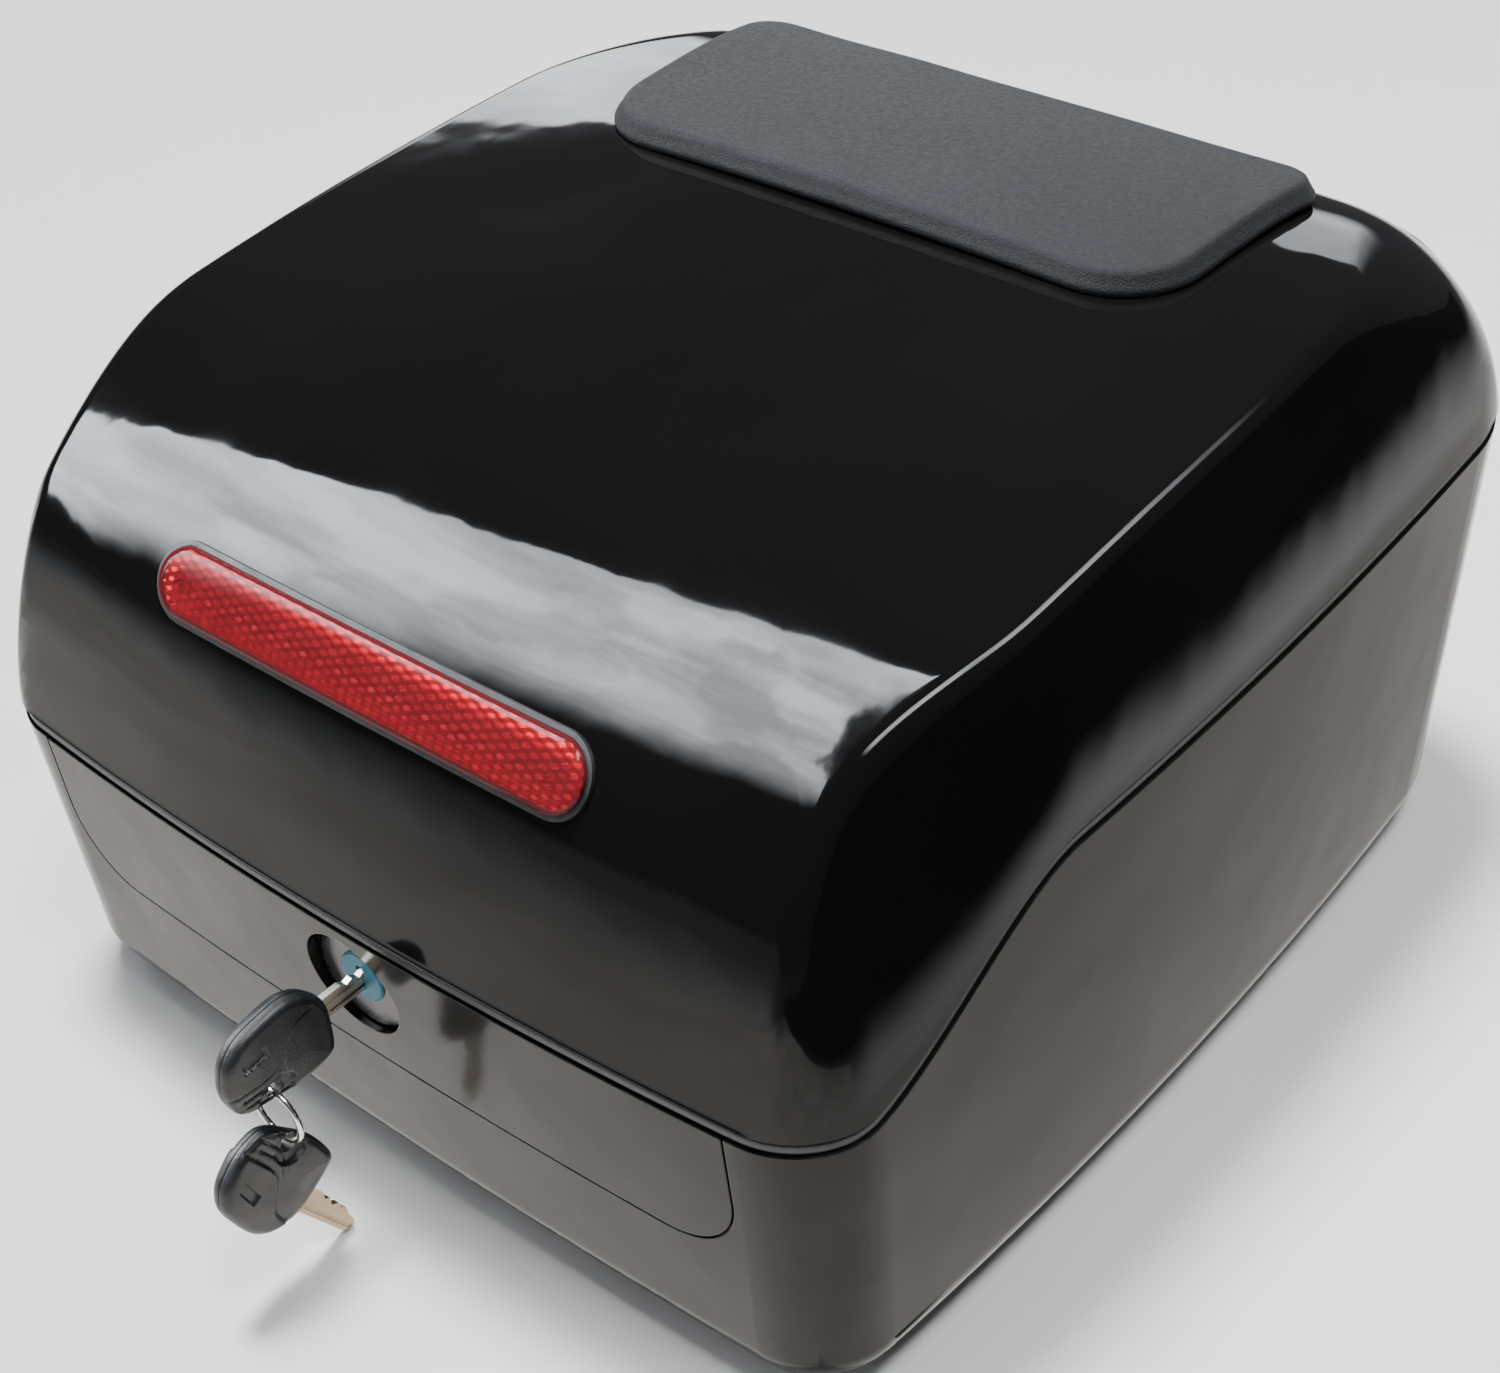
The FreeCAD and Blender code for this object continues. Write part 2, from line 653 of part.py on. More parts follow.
def pad_prism(shrink):
    """The pad's plan with rounded corners, as a tall prism."""
    front, back = D["pad_front"] + shrink, D["pad_back"] - shrink
    front_half = D["pad_front_half"] - shrink
    back_half = D["pad_back_half"] - shrink
    corners = [Vector(-front_half, front, 0), Vector(front_half, front, 0),
               Vector(back_half, back, 0), Vector(-back_half, back, 0)]
    prism = Part.Face(Part.makePolygon(corners + corners[:1])).extrude(Vector(0, 0, 300))
    upright = [edge for edge in prism.Edges if edge.BoundBox.ZLength > 1]
    front_edges = [edge for edge in upright if edge.BoundBox.YMax < front + 1]
    prism = prism.makeFillet(D["pad_round"] - shrink, front_edges)
    back_edges = [edge for edge in prism.Edges
                  if edge.BoundBox.ZLength > 1 and edge.BoundBox.YMin > back - 1]
    return prism.makeFillet(max(D["pad_back_round"] - shrink, 4.0), back_edges)


def make_backrest():
    pad = pad_prism(0.0).common(under_crown(D["pad_thickness"])).cut(under_crown(0.15))
    plate_zone = pad_prism(10.0)
    hollow = pad_prism(9.8)
    pad = pad.cut(hollow.common(under_crown(D["plate_thickness"] + 0.3)))
    feature("backrest_pad", pad)
    plate = plate_zone.common(under_crown(D["plate_thickness"])).cut(under_crown(0.2))
    holes = [Part.makeCylinder(PAD_SCREW_HOLE, 60, Vector(x, y, 180)) for x, y in PAD_SCREWS]
    feature("pad_backing_plate", plate.cut(holes))
    screws = []
    for x, y in PAD_SCREWS:
        top = crown_height(x, y, 0.0) + 1.2
        seat = crown_height(x, y, -D["wall"]) - 0.9
        shank = Part.makeCylinder(2.5, top - seat, Vector(x, y, seat))
        head = Part.makeCylinder(4.6, 2.6, Vector(x, y, seat - 2.6))
        screws.append(shank.fuse(head).removeSplitter())
    feature("pad_screws", Part.makeCompound(screws))


# ---------------------------------------------------------------- hinges

def make_hinge_leaf(name, side, upper):
    """A leaf with its knuckles: two on the body's leaf, one between them on the lid's."""
    way = "" if upper else "-"
    body = new_body(name)
    half = "hinge_width/2"
    inner = "(hinge_width/2-knuckle_length-knuckle_gap)"
    plate = new_sketch(body, name + "_plate", "XZ_Plane", "-(hinge_face+leaf_thickness)")
    clear = "(knuckle_radius+0.6)"
    draw_rectangle(plate, "-" + half, half, f"{way}{clear}", f"{way}leaf_height")
    add_pad(body, plate, "leaf_thickness")
    spans = ((f"-{inner}", inner),) if upper else (
        (f"-{half}", "knuckle_length-hinge_width/2"), ("hinge_width/2-knuckle_length", half))
    for number_of, (low, high) in enumerate(spans):
        tongue = new_sketch(body, f"{name}_tongue{number_of}", "XZ_Plane",
                            "-(hinge_face+leaf_thickness)")
        draw_rectangle(tongue, low, high, f"{way}0.0", f"{way}({clear}+0.5)")
        add_pad(body, tongue, "leaf_thickness")
        eye = new_sketch(body, f"{name}_eye{number_of}", "YZ_Plane", low)
        draw_circle(eye, "hinge_y", "0", "knuckle_radius")
        add_pad(body, eye, f"({high})-({low})")
    bore = new_sketch(body, name + "_bore", "YZ_Plane")
    draw_circle(bore, "hinge_y", "0", "pin_radius+running_gap")
    add_pocket(body, bore, "2*hinge_width", both_ways=True)
    holes = new_sketch(body, name + "_holes", "XZ_Plane", "-(hinge_face+leaf_thickness+5)")
    for column in SCREW_COLUMNS:
        for row in SCREW_ROWS:
            draw_circle(holes, str(column), f"{way}{row}", str(SCREW_HOLE))
    add_pocket(body, holes, "12", backwards=True)
    shift = Vector(side * D["hinge_x"], 0, D["hinge_z"])
    node(body, name, Placement(shift, Rotation()))


def make_pin(name, side):
    pin = doc.addObject("Part::Cylinder", name + "_shank")
    bind(pin, "Radius", "pin_radius")
    bind(pin, "Height", "hinge_width+1")
    head = doc.addObject("Part::Cylinder", name + "_head")
    bind(head, "Radius", "pin_radius+1")
    head.Height = 1.2
    head.Placement.Base = Vector(0, 0, -1.2)
    whole = doc.addObject("Part::Fuse", name + "_whole")
    whole.Base = pin
    whole.Tool = head
    start = Vector(side * D["hinge_x"] - D["hinge_width"] / 2, D["hinge_y"], D["hinge_z"])
    node(whole, name, Placement(start, Rotation(Vector(0, 1, 0), 90)))


def pan_screw(x, y, z, way, length, radius=SCREW_RADIUS, head=2.7, head_height=1.6):
    """A pan-head screw along Y: way is the direction its head faces."""
    shank = Part.makeCylinder(radius, length, Vector(x, y, z), Vector(0, -way, 0))
    cap = Part.makeCylinder(head, head_height, Vector(x, y, z), Vector(0, way, 0))
    rim = [edge for edge in cap.Edges if abs(edge.BoundBox.YMax - (y + way * head_height)) < 0.01
           and edge.BoundBox.XLength > 1]
    return shank.fuse(cap.makeFillet(head_height * 0.55, rim)).removeSplitter()


def make_hinges():
    for word, side in HINGE_SIDES:
        make_hinge_leaf(f"hinge_body_leaf_{word}", side, False)
        make_hinge_leaf(f"hinge_lid_leaf_{word}", side, True)
        make_pin(f"hinge_pin_{word}", side)
    face = D["hinge_face"] + D["leaf_thickness"]
    for label, upper in (("hinge_screws_body", False), ("hinge_screws_lid", True)):
        screws = [pan_screw(x, face, z, 1, 6.5) for x, z in hinge_screw_places(upper)]
        feature(label, Part.makeCompound(screws))


# ---------------------------------------------------------------- lock

CUP_FRONT = -182.1
CUP_BACK = -173.0
TUBE_BACK = -160.0
BUTTON_FACE = -182.4
STEM_BACK = -159.4
NOSE_BACK = -156.4


def make_lock_housing():
    body = turned_body("lock_housing", (
        (str(CUP_FRONT), "recess_radius"), (str(CUP_FRONT), "cup_radius"),
        (str(CUP_BACK), "cup_radius"), (str(CUP_BACK), "15.3"), (str(TUBE_BACK), "15.3"),
        (str(TUBE_BACK), "stem_radius+0.35"), (f"{TUBE_BACK}-1.5", "stem_radius+0.35"),
        (f"{TUBE_BACK}-1.5", "13.7"), (f"{CUP_BACK}-1.5", "13.7"),
        (f"{CUP_BACK}-1.5", "recess_radius")))
    for name, low, high in (("left", "-31", "-17.6"), ("right", "17.6", "31")):
        ear = new_sketch(body, "lock_ear_" + name, "XZ_Plane", str(-LOCK_BOSS_FACE))
        draw_rectangle(ear, low, high, "-6.5", "6.5")
        add_pad(body, ear, "2.5", backwards=True)
    doc.recompute()
    holes = new_sketch(body, "lock_ear_holes", "XZ_Plane", "190")
    for x in (-EAR_SCREW_X, EAR_SCREW_X):
        draw_circle(holes, str(x), "0", str(SCREW_HOLE))
    add_pocket(body, holes, "30")
    node(body, "lock_housing", lock_placement())


def make_push_button():
    body = turned_body("push_button", (
        (str(BUTTON_FACE), "cylinder_radius+running_gap"), (str(BUTTON_FACE), "button_radius-0.5"),
        (f"{BUTTON_FACE}+0.5", "button_radius"), (f"{BUTTON_FACE}+4", "button_radius"),
        (f"{BUTTON_FACE}+4", "stem_radius"), (str(STEM_BACK), "stem_radius"),
        (str(STEM_BACK), "3"), (str(NOSE_BACK), "3"), (str(NOSE_BACK), "0"),
        (f"{STEM_BACK}-1.6", "0"), (f"{STEM_BACK}-1.6", "cylinder_radius+running_gap")))
    node(body, "push_button", lock_placement())


def make_lock_cylinder():
    body = turned_body("lock_cylinder", (
        ("-183.3", "0"), ("-183.3", "cylinder_radius-0.5"), ("-182.8", "cylinder_radius"),
        (f"{STEM_BACK}-2", "cylinder_radius"), (f"{STEM_BACK}-2", "0")))
    keyway = new_sketch(body, "keyway", "XZ_Plane", "190")
    draw_rectangle(keyway, "-(blade_thickness/2+0.2)", "blade_thickness/2+0.2",
                   "-(blade_width/2+0.3)", "blade_width/2+0.3")
    add_pocket(body, keyway, "24")
    node(body, "lock_cylinder", lock_placement())


WIRE_FLATS = 12


def helix_spring(radius, wire, length, turns, start, axis):
    """A coil of wire about an axis, as one swept solid; twelve flats stand for the round wire."""
    path = Part.makeHelix(length / turns, length, radius)
    step = 2 * math.pi / WIRE_FLATS
    across = wire * math.sqrt(step / math.sin(step))
    corners = [Vector(radius + across * math.cos(step * k), 0, across * math.sin(step * k))
               for k in range(WIRE_FLATS)]
    section = Part.makePolygon(corners + corners[:1])
    coil = Part.Wire(path.Edges).makePipeShell([section], True, True)
    coil.Placement = Placement(start, Rotation(Vector(0, 0, 1), axis))
    return coil


def make_button_spring():
    length = (TUBE_BACK - 1.5) - (BUTTON_FACE + 4) - 1.9
    start = Vector(0, BUTTON_FACE + 4 + 0.95, D["lock_height"])
    feature("button_spring", helix_spring(12.1, 0.65, length, 5, start, Vector(0, 1, 0)))


def make_lock_screws():
    screws = [pan_screw(x, LOCK_BOSS_FACE + 2.5, D["lock_height"], 1, 6.2)
              for x in (-EAR_SCREW_X, EAR_SCREW_X)]
    feature("lock_housing_screws", Part.makeCompound(screws))


# ---------------------------------------------------------------- latch

LATCH_Y = -152.0
LATCH_Z = 64.0
LATCH_FRONT = -3.7
LATCH_SWING = 16.0
LATCH_PIN = 2.0


def make_latch_bracket():
    body = new_body("latch_bracket")
    cheek_profile = (("-26", "-13.7"), ("-7", "-13.7"), ("4.5", "-13.7"), ("4.5", "4.5"),
                     ("-5", "4.5"), ("-5", "-7.2"), ("-26", "-7.2"))
    for name, low, length in (("left", "-12.5", "2.5"), ("right", "10", "2.5")):
        cheek = new_sketch(body, "cheek_" + name, "YZ_Plane", low)
        draw_polygon(cheek, cheek_profile)
        add_pad(body, cheek, length)
    web = new_sketch(body, "latch_web", "YZ_Plane", "-12.5")
    draw_rectangle(web, "-26", "4.5", "-13.7", "-11.5")
    add_pad(body, web, "25")
    foot = new_sketch(body, "latch_foot", "XZ_Plane", "26")
    draw_rectangle(foot, "-20", "20", "-24", "-7.2")
    add_pad(body, foot, "2", backwards=True)
    doc.recompute()
    bore = new_sketch(body, "latch_bracket_bore", "YZ_Plane")
    draw_circle(bore, "0", "0", str(LATCH_PIN))
    add_pocket(body, bore, "40", both_ways=True)
    holes = new_sketch(body, "latch_foot_holes", "XZ_Plane", "30")
    for x, z in BRACKET_SCREWS:
        draw_circle(holes, str(x), str(z - LATCH_Z), str(BRACKET_SCREW_HOLE))
    add_pocket(body, holes, "10")
    node(body, "latch_bracket", Placement(Vector(0, LATCH_Y, LATCH_Z), Rotation()))
    screws = [pan_screw(x, LOCK_BOSS_FACE + 2.0, z, 1, 5.8) for x, z in BRACKET_SCREWS]
    feature("latch_bracket_screws", Part.makeCompound(screws))


def make_latch_hook():
    """The lever, drawn latched and stored swung clear of the striker."""
    body = new_body("latch_hook")
    lever = new_sketch(body, "latch_lever", "YZ_Plane", "-7")
    draw_polygon(lever, (
        (str(LATCH_FRONT), "-3"), ("0.5", "-4"), ("3.5", "0"), ("-0.7", "8"), ("-0.7", "40.2"),
        ("-6", "40.2"), ("-20.5", "36.8"), ("-20.5", "35.3"), (str(LATCH_FRONT), "35.3")))
    add_pad(body, lever, "14")
    hub = new_sketch(body, "latch_hub", "YZ_Plane", "-5")
    draw_circle(hub, "0", "0", "4")
    add_pad(body, hub, "10")
    doc.recompute()
    for name, low in (("left", "-8"), ("right", "5")):
        relief = new_sketch(body, "hub_relief_" + name, "YZ_Plane", low)
        draw_rectangle(relief, "-9", "9", "-9", "5")
        add_pocket(body, relief, "3", backwards=True)
    bore = new_sketch(body, "latch_hook_bore", "YZ_Plane")
    draw_circle(bore, "0", "0", f"{LATCH_PIN}+running_gap")
    add_pocket(body, bore, "40", both_ways=True)
    swing = Rotation(Vector(1, 0, 0), -LATCH_SWING)
    node(body, "latch_hook", Placement(Vector(0, LATCH_Y, LATCH_Z), swing))


def make_latch_pin_and_spring():
    pin = doc.addObject("Part::Cylinder", "latch_pin")
    pin.Radius = LATCH_PIN
    pin.Height = 25.0
    place = Placement(Vector(-12.5, LATCH_Y, LATCH_Z), Rotation(Vector(0, 1, 0), 90))
    node(pin, "latch_pin", place)
    start = Vector(5.8, LATCH_Y, LATCH_Z)
    feature("latch_spring", helix_spring(3.2, 0.4, 3.4, 3, start, Vector(1, 0, 0)))


def make_striker():
    body = new_body("lid_striker")
    plate = new_sketch(body, "striker_plate", "XZ_Plane", str(-STRIKER_FACE))
    draw_rectangle(plate, "-13", "13", "94.5", "127")
    add_pad(body, plate, "2.5", backwards=True)
    doc.recompute()
    window = new_sketch(body, "striker_window", "XZ_Plane", "180")
    draw_rectangle(window, "-9", "9", "98.5", "106.5")
    add_pocket(body, window, "20")
    holes = new_sketch(body, "striker_holes", "XZ_Plane", "180")
    for x, z in STRIKER_SCREWS:
        draw_circle(holes, str(x), str(z), str(SCREW_HOLE))
    add_pocket(body, holes, "20")
    node(body, "lid_striker")
    screws = [pan_screw(x, STRIKER_FACE + 2.5, z, 1, 9.0) for x, z in STRIKER_SCREWS]
    feature("striker_screws", Part.makeCompound(screws))


# ---------------------------------------------------------------- keys

# Outlines in the key's own plane: u runs from the tip side to the bow, v across, with the blade's
# axis on v = 0 and the shoulder, where the blade meets the head, on u = 0.
HEAD_OUTLINE = (
    ("0", "-13"), ("0", "4"), ("-7", "12"), ("-14", "14.5"), ("-29", "12.5"), ("-35.5", "6.5"),
    ("-37.5", "-4"), ("-34", "-13.5"), ("-14", "-17"), ("-3", "-15.5"))
EYE_U, EYE_V, EYE_RADIUS = -22.0, -12.6, 2.4
KEY_SHOULDER = -197.0
SPARE_TURN = -58.0


def make_key_head(label, mirrored, placement):
    flip = -1 if mirrored else 1
    body = new_body(label)
    outline = new_sketch(body, label + "_outline", "YZ_Plane")
    corners = [(u, str(flip * float(v))) for u, v in HEAD_OUTLINE]
    draw_polygon(outline, corners)
    add_pad(body, outline, "head_thickness", both_ways=True)
    doc.recompute()
    upright = [f"Edge{i}" for i, edge in enumerate(body.Shape.Edges, start=1)
               if edge.BoundBox.XLength > D["head_thickness"] - 0.1]
    drawn = body.Tip
    softened = body.newObject("PartDesign::Fillet", label + "_corners")
    softened.Base = (drawn, upright)
    softened.Radius = 2.6
    doc.recompute()
    flat = [f"Face{i}" for i, face in enumerate(body.Shape.Faces, start=1)
            if face.BoundBox.XLength < 0.01]
    bevel = body.newObject("PartDesign::Chamfer", label + "_bevel")
    bevel.Base = (softened, flat)
    bevel.Size = 1.8
    doc.recompute()
    slot = new_sketch(body, label + "_blade_slot", "YZ_Plane")
    draw_rectangle(slot, "-9", "5", "-(blade_width/2)", "blade_width/2")
    add_pocket(body, slot, "blade_thickness", both_ways=True)
    eye = new_sketch(body, label + "_eye", "YZ_Plane")
    draw_circle(eye, str(EYE_U), str(flip * EYE_V), str(EYE_RADIUS))
    add_pocket(body, eye, "20", both_ways=True)
    waist = new_sketch(body, label + "_waist", "YZ_Plane", "2.2")
    draw_circle(waist, str(EYE_U), str(flip * (EYE_V - 2)), "6")
    add_pocket(body, waist, "6", backwards=True)
    other = new_sketch(body, label + "_waist_far", "YZ_Plane", "-2.2")
    draw_circle(other, str(EYE_U), str(flip * (EYE_V - 2)), "6")
    add_pocket(body, other, "6")
    node(body, label, placement)


def make_key_blade(label, placement):
    body = new_body(label)
    outline = new_sketch(body, label + "_outline", "YZ_Plane")
    cuts = (("3", "3.75"), ("6", "3.75"), ("8", "2.4"), ("10", "3.2"), ("12.5", "1.6"),
            ("15", "2.9"), ("17", "1.9"), ("19.5", "2.6"), ("22", "1.2"), ("25.5", "0.6"))
    lower = [("-9", "-3.75"), ("25.3", "-3.75"), ("27", "-2.0"), ("27", "-0.6")]
    draw_polygon(outline, lower + list(reversed(cuts)) + [("-9", "3.75")])
    add_pad(body, outline, "blade_thickness", both_ways=True)
    doc.recompute()
    groove = new_sketch(body, label + "_groove", "YZ_Plane", "0.55")
    draw_rectangle(groove, "1", "28", "-2.4", "-1.2")
    add_pocket(body, groove, "3", backwards=True)
    node(body, label, placement)


def eye_place(placement, flip):
    return placement.multVec(Vector(0, EYE_U, flip * EYE_V))


def make_keys():
    first = Placement(Vector(0, KEY_SHOULDER, D["lock_height"]), Rotation())
    make_key_head("key_head", False, first)
    make_key_blade("key_blade", first)
    eye = eye_place(first, 1)
    ring = doc.addObject("Part::Torus", "key_ring")
    bind(ring, "Radius1", "key_ring_radius")
    bind(ring, "Radius2", "key_ring_wire")
    play = D["key_ring_wire"] + 0.3
    drop = D["key_ring_radius"] + play
    centre = eye - Vector(0, 0, drop)
    node(ring, "key_ring", Placement(centre, Rotation(Vector(1, 0, 0), 90)))
    turn = Rotation(Vector(1, 0, 0), SPARE_TURN)
    hang = centre - Vector(0, 0, D["key_ring_radius"] + play)
    base = hang - turn.multVec(Vector(0, EYE_U, -EYE_V))
    second = Placement(base, turn)
    make_key_head("spare_key_head", True, second)
    make_key_blade("spare_key_blade", second)


# ---------------------------------------------------------------- build, check and write

make_body_shell()
make_lock_panel()
make_rim_seal()
make_lid_shell()
make_reflector()
make_backrest()
make_hinges()
make_lock_housing()
make_push_button()
make_lock_cylinder()
make_button_spring()
make_lock_screws()
make_latch_bracket()
make_latch_hook()
make_latch_pin_and_spring()
make_striker()
make_keys()
doc.recompute()

for thing in doc.Objects:
    if "Invalid" in thing.State or "Error" in thing.State:
        raise RuntimeError(f"{thing.Label}: {thing.State}")
for thing in NODES:
    if thing.Shape.isNull() or not thing.Shape.isValid():
        raise RuntimeError(f"{thing.Label}: its shape is null or not valid")

os.makedirs("parts", exist_ok=True)
for thing in NODES:
    thing.Shape.exportStep(f"parts/{thing.Label}.step")
    box = thing.Shape.BoundBox
    print(f"{thing.Label:24s} {len(thing.Shape.Solids):2d} {thing.Shape.Volume / 1000:9.2f} cm3 "
          f"x {box.XMin:7.1f} {box.XMax:7.1f}  y {box.YMin:7.1f} {box.YMax:7.1f} "
          f" z {box.ZMin:7.1f} {box.ZMax:7.1f}")
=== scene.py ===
import math

import bmesh
import bpy
import numpy as np
from mathutils import Matrix, Vector
from mathutils.kdtree import KDTree


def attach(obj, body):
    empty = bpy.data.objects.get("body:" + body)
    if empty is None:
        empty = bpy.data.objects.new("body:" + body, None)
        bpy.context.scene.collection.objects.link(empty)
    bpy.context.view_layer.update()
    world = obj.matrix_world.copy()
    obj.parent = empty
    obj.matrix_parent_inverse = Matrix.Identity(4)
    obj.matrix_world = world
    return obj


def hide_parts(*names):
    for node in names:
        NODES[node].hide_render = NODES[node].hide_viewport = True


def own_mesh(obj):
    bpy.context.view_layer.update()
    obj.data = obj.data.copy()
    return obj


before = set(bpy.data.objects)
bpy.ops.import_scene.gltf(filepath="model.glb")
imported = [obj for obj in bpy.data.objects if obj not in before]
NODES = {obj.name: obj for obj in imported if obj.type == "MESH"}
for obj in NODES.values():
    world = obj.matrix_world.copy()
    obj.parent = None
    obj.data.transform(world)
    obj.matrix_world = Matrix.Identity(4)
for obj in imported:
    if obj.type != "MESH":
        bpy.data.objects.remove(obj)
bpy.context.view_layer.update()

# Lengths in the shape code are in millimetres, measured from the underside of the body's floor.
RUNNERS = 5.0
WALL = 3.0
SEAM_LOW, SEAM_HIGH = 104.2, 146.5
DIP_START, DIP_END = -168.6, -82.3
LEAN, LEAN_HEIGHT, LEAN_POWER = 17.0, 62.0, 1.35
LEAN_EASED, LEAN_REST = 21.0, 7.0
CREASE_RADIUS, CREASE_GROWTH, CREASE_FROM, CREASE_OVER = 3.6, 33.0, 55.0, 110.0
RIM_HEIGHT, RIM_THICK, LIP = 7.0, 6.0, 0.7
CREASE_TOP, SIDE_RUN, SIDE_ROWS, TOP_ROWS, MIDDLE_Y = 111, 34.0, 41, 87, 10.0
LOCK_Z = 78.0


def metres(points):
    """Millimetres above the floor's underside to the row frame's metres."""
    moved = np.array(points, float)
    moved[..., 2] += RUNNERS
    return moved / 1000.0


def smooth(fraction):
    t = np.clip(fraction, 0.0, 1.0)
    return t * t * (3 - 2 * t)


def seam_height(y):
    return SEAM_LOW + (SEAM_HIGH - SEAM_LOW) * smooth((y - DIP_START) / (DIP_END - DIP_START))


# ---- plan outlines

PLAN_LOW = {"half": 154.8, "front": -175.7, "back": 163.8, "bow": 3.4, "near": 27.0, "far": 51.0}
PLAN_HIGH = {"half": 160.1, "front": -182.25, "back": 180.6, "bow": 11.0, "near": 29.5, "far": 57.0}
SIDE_BOW, BACK_BOW, TOP_PLANE = 8.3, 5.1, 150.0


def circle_meeting(first, first_radius, second, second_radius, near):
    gap = second - first
    distance = np.hypot(*gap)
    along = (first_radius ** 2 - second_radius ** 2 + distance ** 2) / (2 * distance)
    across = math.sqrt(first_radius ** 2 - along ** 2)
    direction = gap / distance
    side = np.array([-direction[1], direction[0]])
    foot = first + direction * along
    return min((foot + side * across, foot - side * across), key=lambda p: np.hypot(*(p - near)))


def plan_arcs(plan):
    """Eight tangent arcs (centre, radius, first angle, last angle), from the front round."""
    half, front, back = plan["half"], plan["front"], plan["back"]
    depth, middle = (back - front) / 2, (back + front) / 2
    front_radius = (half ** 2 + plan["bow"] ** 2) / (2 * plan["bow"])
    side_radius = (depth ** 2 + SIDE_BOW ** 2) / (2 * SIDE_BOW)
    back_radius = (half ** 2 + BACK_BOW ** 2) / (2 * BACK_BOW)
    sides = [
        (np.array([0, front - plan["bow"] + front_radius]), front_radius),
        (np.array([half + SIDE_BOW - side_radius, middle]), side_radius),
        (np.array([0, back + BACK_BOW - back_radius]), back_radius),
        (np.array([side_radius - half - SIDE_BOW, middle]), side_radius),
    ]
    corners = [(half, front, plan["near"]), (half, back, plan["far"]),
               (-half, back, plan["far"]), (-half, front, plan["near"])]
    centres = []
    for i, (x, y, radius) in enumerate(corners):
        (one, one_radius), (two, two_radius) = sides[i], sides[(i + 1) % 4]
        centres.append(circle_meeting(
            one, one_radius - radius, two, two_radius - radius, np.array([x, y])))
    arcs = []
    for i in range(4):
        centre, radius = sides[i]
        following = sides[(i + 1) % 4][0]
        start = math.atan2(*(centres[i - 1] - centre)[::-1])
        stop = math.atan2(*(centres[i] - centre)[::-1])
        turn = math.atan2(*(centres[i] - following)[::-1])
        stop += 2 * math.pi if stop < start else 0
        turn += 2 * math.pi if turn < stop - math.pi / 2 else 0
        arcs.append((centre, radius, start, stop))
        arcs.append((centres[i], corners[i][2], stop, turn))
    return arcs


def plan_points(plan, counts):
    points, normals = [], []
    for (centre, radius, start, stop), count in zip(plan_arcs(plan), counts):
        angles = start + (stop - start) * np.arange(count) / count
        ways = np.column_stack([np.cos(angles), np.sin(angles)])
        points.append(centre + ways * radius)
        normals.append(ways)
    return np.vstack(points), np.vstack(normals)


COLUMNS = (96, 22, 112, 36, 80, 36, 112, 22)
LOW_POINTS, LOW_NORMALS = plan_points(PLAN_LOW, COLUMNS)
HIGH_POINTS, HIGH_NORMALS = plan_points(PLAN_HIGH, COLUMNS)


def ring_at(levels):
    """Plan points of the outer walls at the given heights (one, or one per column)."""
    part = np.asarray(levels, float)[..., None] / TOP_PLANE
    return LOW_POINTS + (HIGH_POINTS - LOW_POINTS) * part


def unit(vectors):
    return vectors / np.linalg.norm(vectors, axis=-1, keepdims=True)


RING_NORMALS = unit(LOW_NORMALS + HIGH_NORMALS)


def seam_ring():
    levels = np.full(len(LOW_POINTS), 125.0)
    for _ in range(6):
        points = ring_at(levels)
        levels = seam_height(points[:, 1])
    return points


SEAM = seam_ring()
SEAM_Z = seam_height(SEAM[:, 1])


# ---- the lid's two surfaces

MIDDLE_SECTION = np.array([
    (-192.6, 90.0), (-188.5, 104.2), (-182.4, 128.0), (-174.8, 150.0), (-165.2, 170.0),
    (-152.0, 184.5), (-135.0, 195.0), (-112.0, 202.3), (-80.0, 206.3), (-40.0, 209.3),
    (0.0, 211.3), (45.0, 212.8), (90.0, 213.0), (125.0, 209.5), (150.0, 200.5),
    (168.0, 186.0), (179.0, 168.0), (184.9, 146.5), (188.0, 120.0)])


def spline_through(knots, values, places):
    """A natural cubic spline through values at knots, sampled at places."""
    count = len(knots)
    step = np.diff(knots)
    matrix = np.eye(count)
    right = np.zeros((count, values.shape[1]))
    for i in range(1, count - 1):
        matrix[i, i - 1], matrix[i, i + 1] = step[i - 1], step[i]
        matrix[i, i] = 2 * (step[i - 1] + step[i])
        right[i] = 6 * ((values[i + 1] - values[i]) / step[i]
                        - (values[i] - values[i - 1]) / step[i - 1])
    bend = np.linalg.solve(matrix, right)
    i = np.clip(np.searchsorted(knots, places, side="right") - 1, 0, count - 2)
    width = step[i][:, None]
    a = (knots[i + 1] - places)[:, None] / width
    b = 1 - a
    return (a * values[i] + b * values[i + 1]
            + ((a ** 3 - a) * bend[i] + (b ** 3 - b) * bend[i + 1]) * width ** 2 / 6)


SPAN = 160.0
CHORD = np.r_[0, np.cumsum(np.hypot(*np.diff(MIDDLE_SECTION, axis=0).T))]
SECTION_S = np.linspace(0, CHORD[-1], 2600)
SECTION = spline_through(CHORD, MIDDLE_SECTION, SECTION_S)
SECTION_W = np.clip((SECTION[:, 0] + 190) / 375, 0, 1)
SECTION_BOW = 8.7 * (1 - SECTION_W) ** 1.5 - 5.1 * SECTION_W ** 3
SECTION_DROP = 2.5 * np.clip((SECTION[:, 1] - 150) / 50, 0, 1)
SECTION_SLOPE = unit(np.gradient(SECTION, SECTION_S, axis=0))


def section_at(s, *rows):
    """Rows of values along the middle section, read at the lengths s."""
    return [np.interp(s, SECTION_S, row) for row in rows]


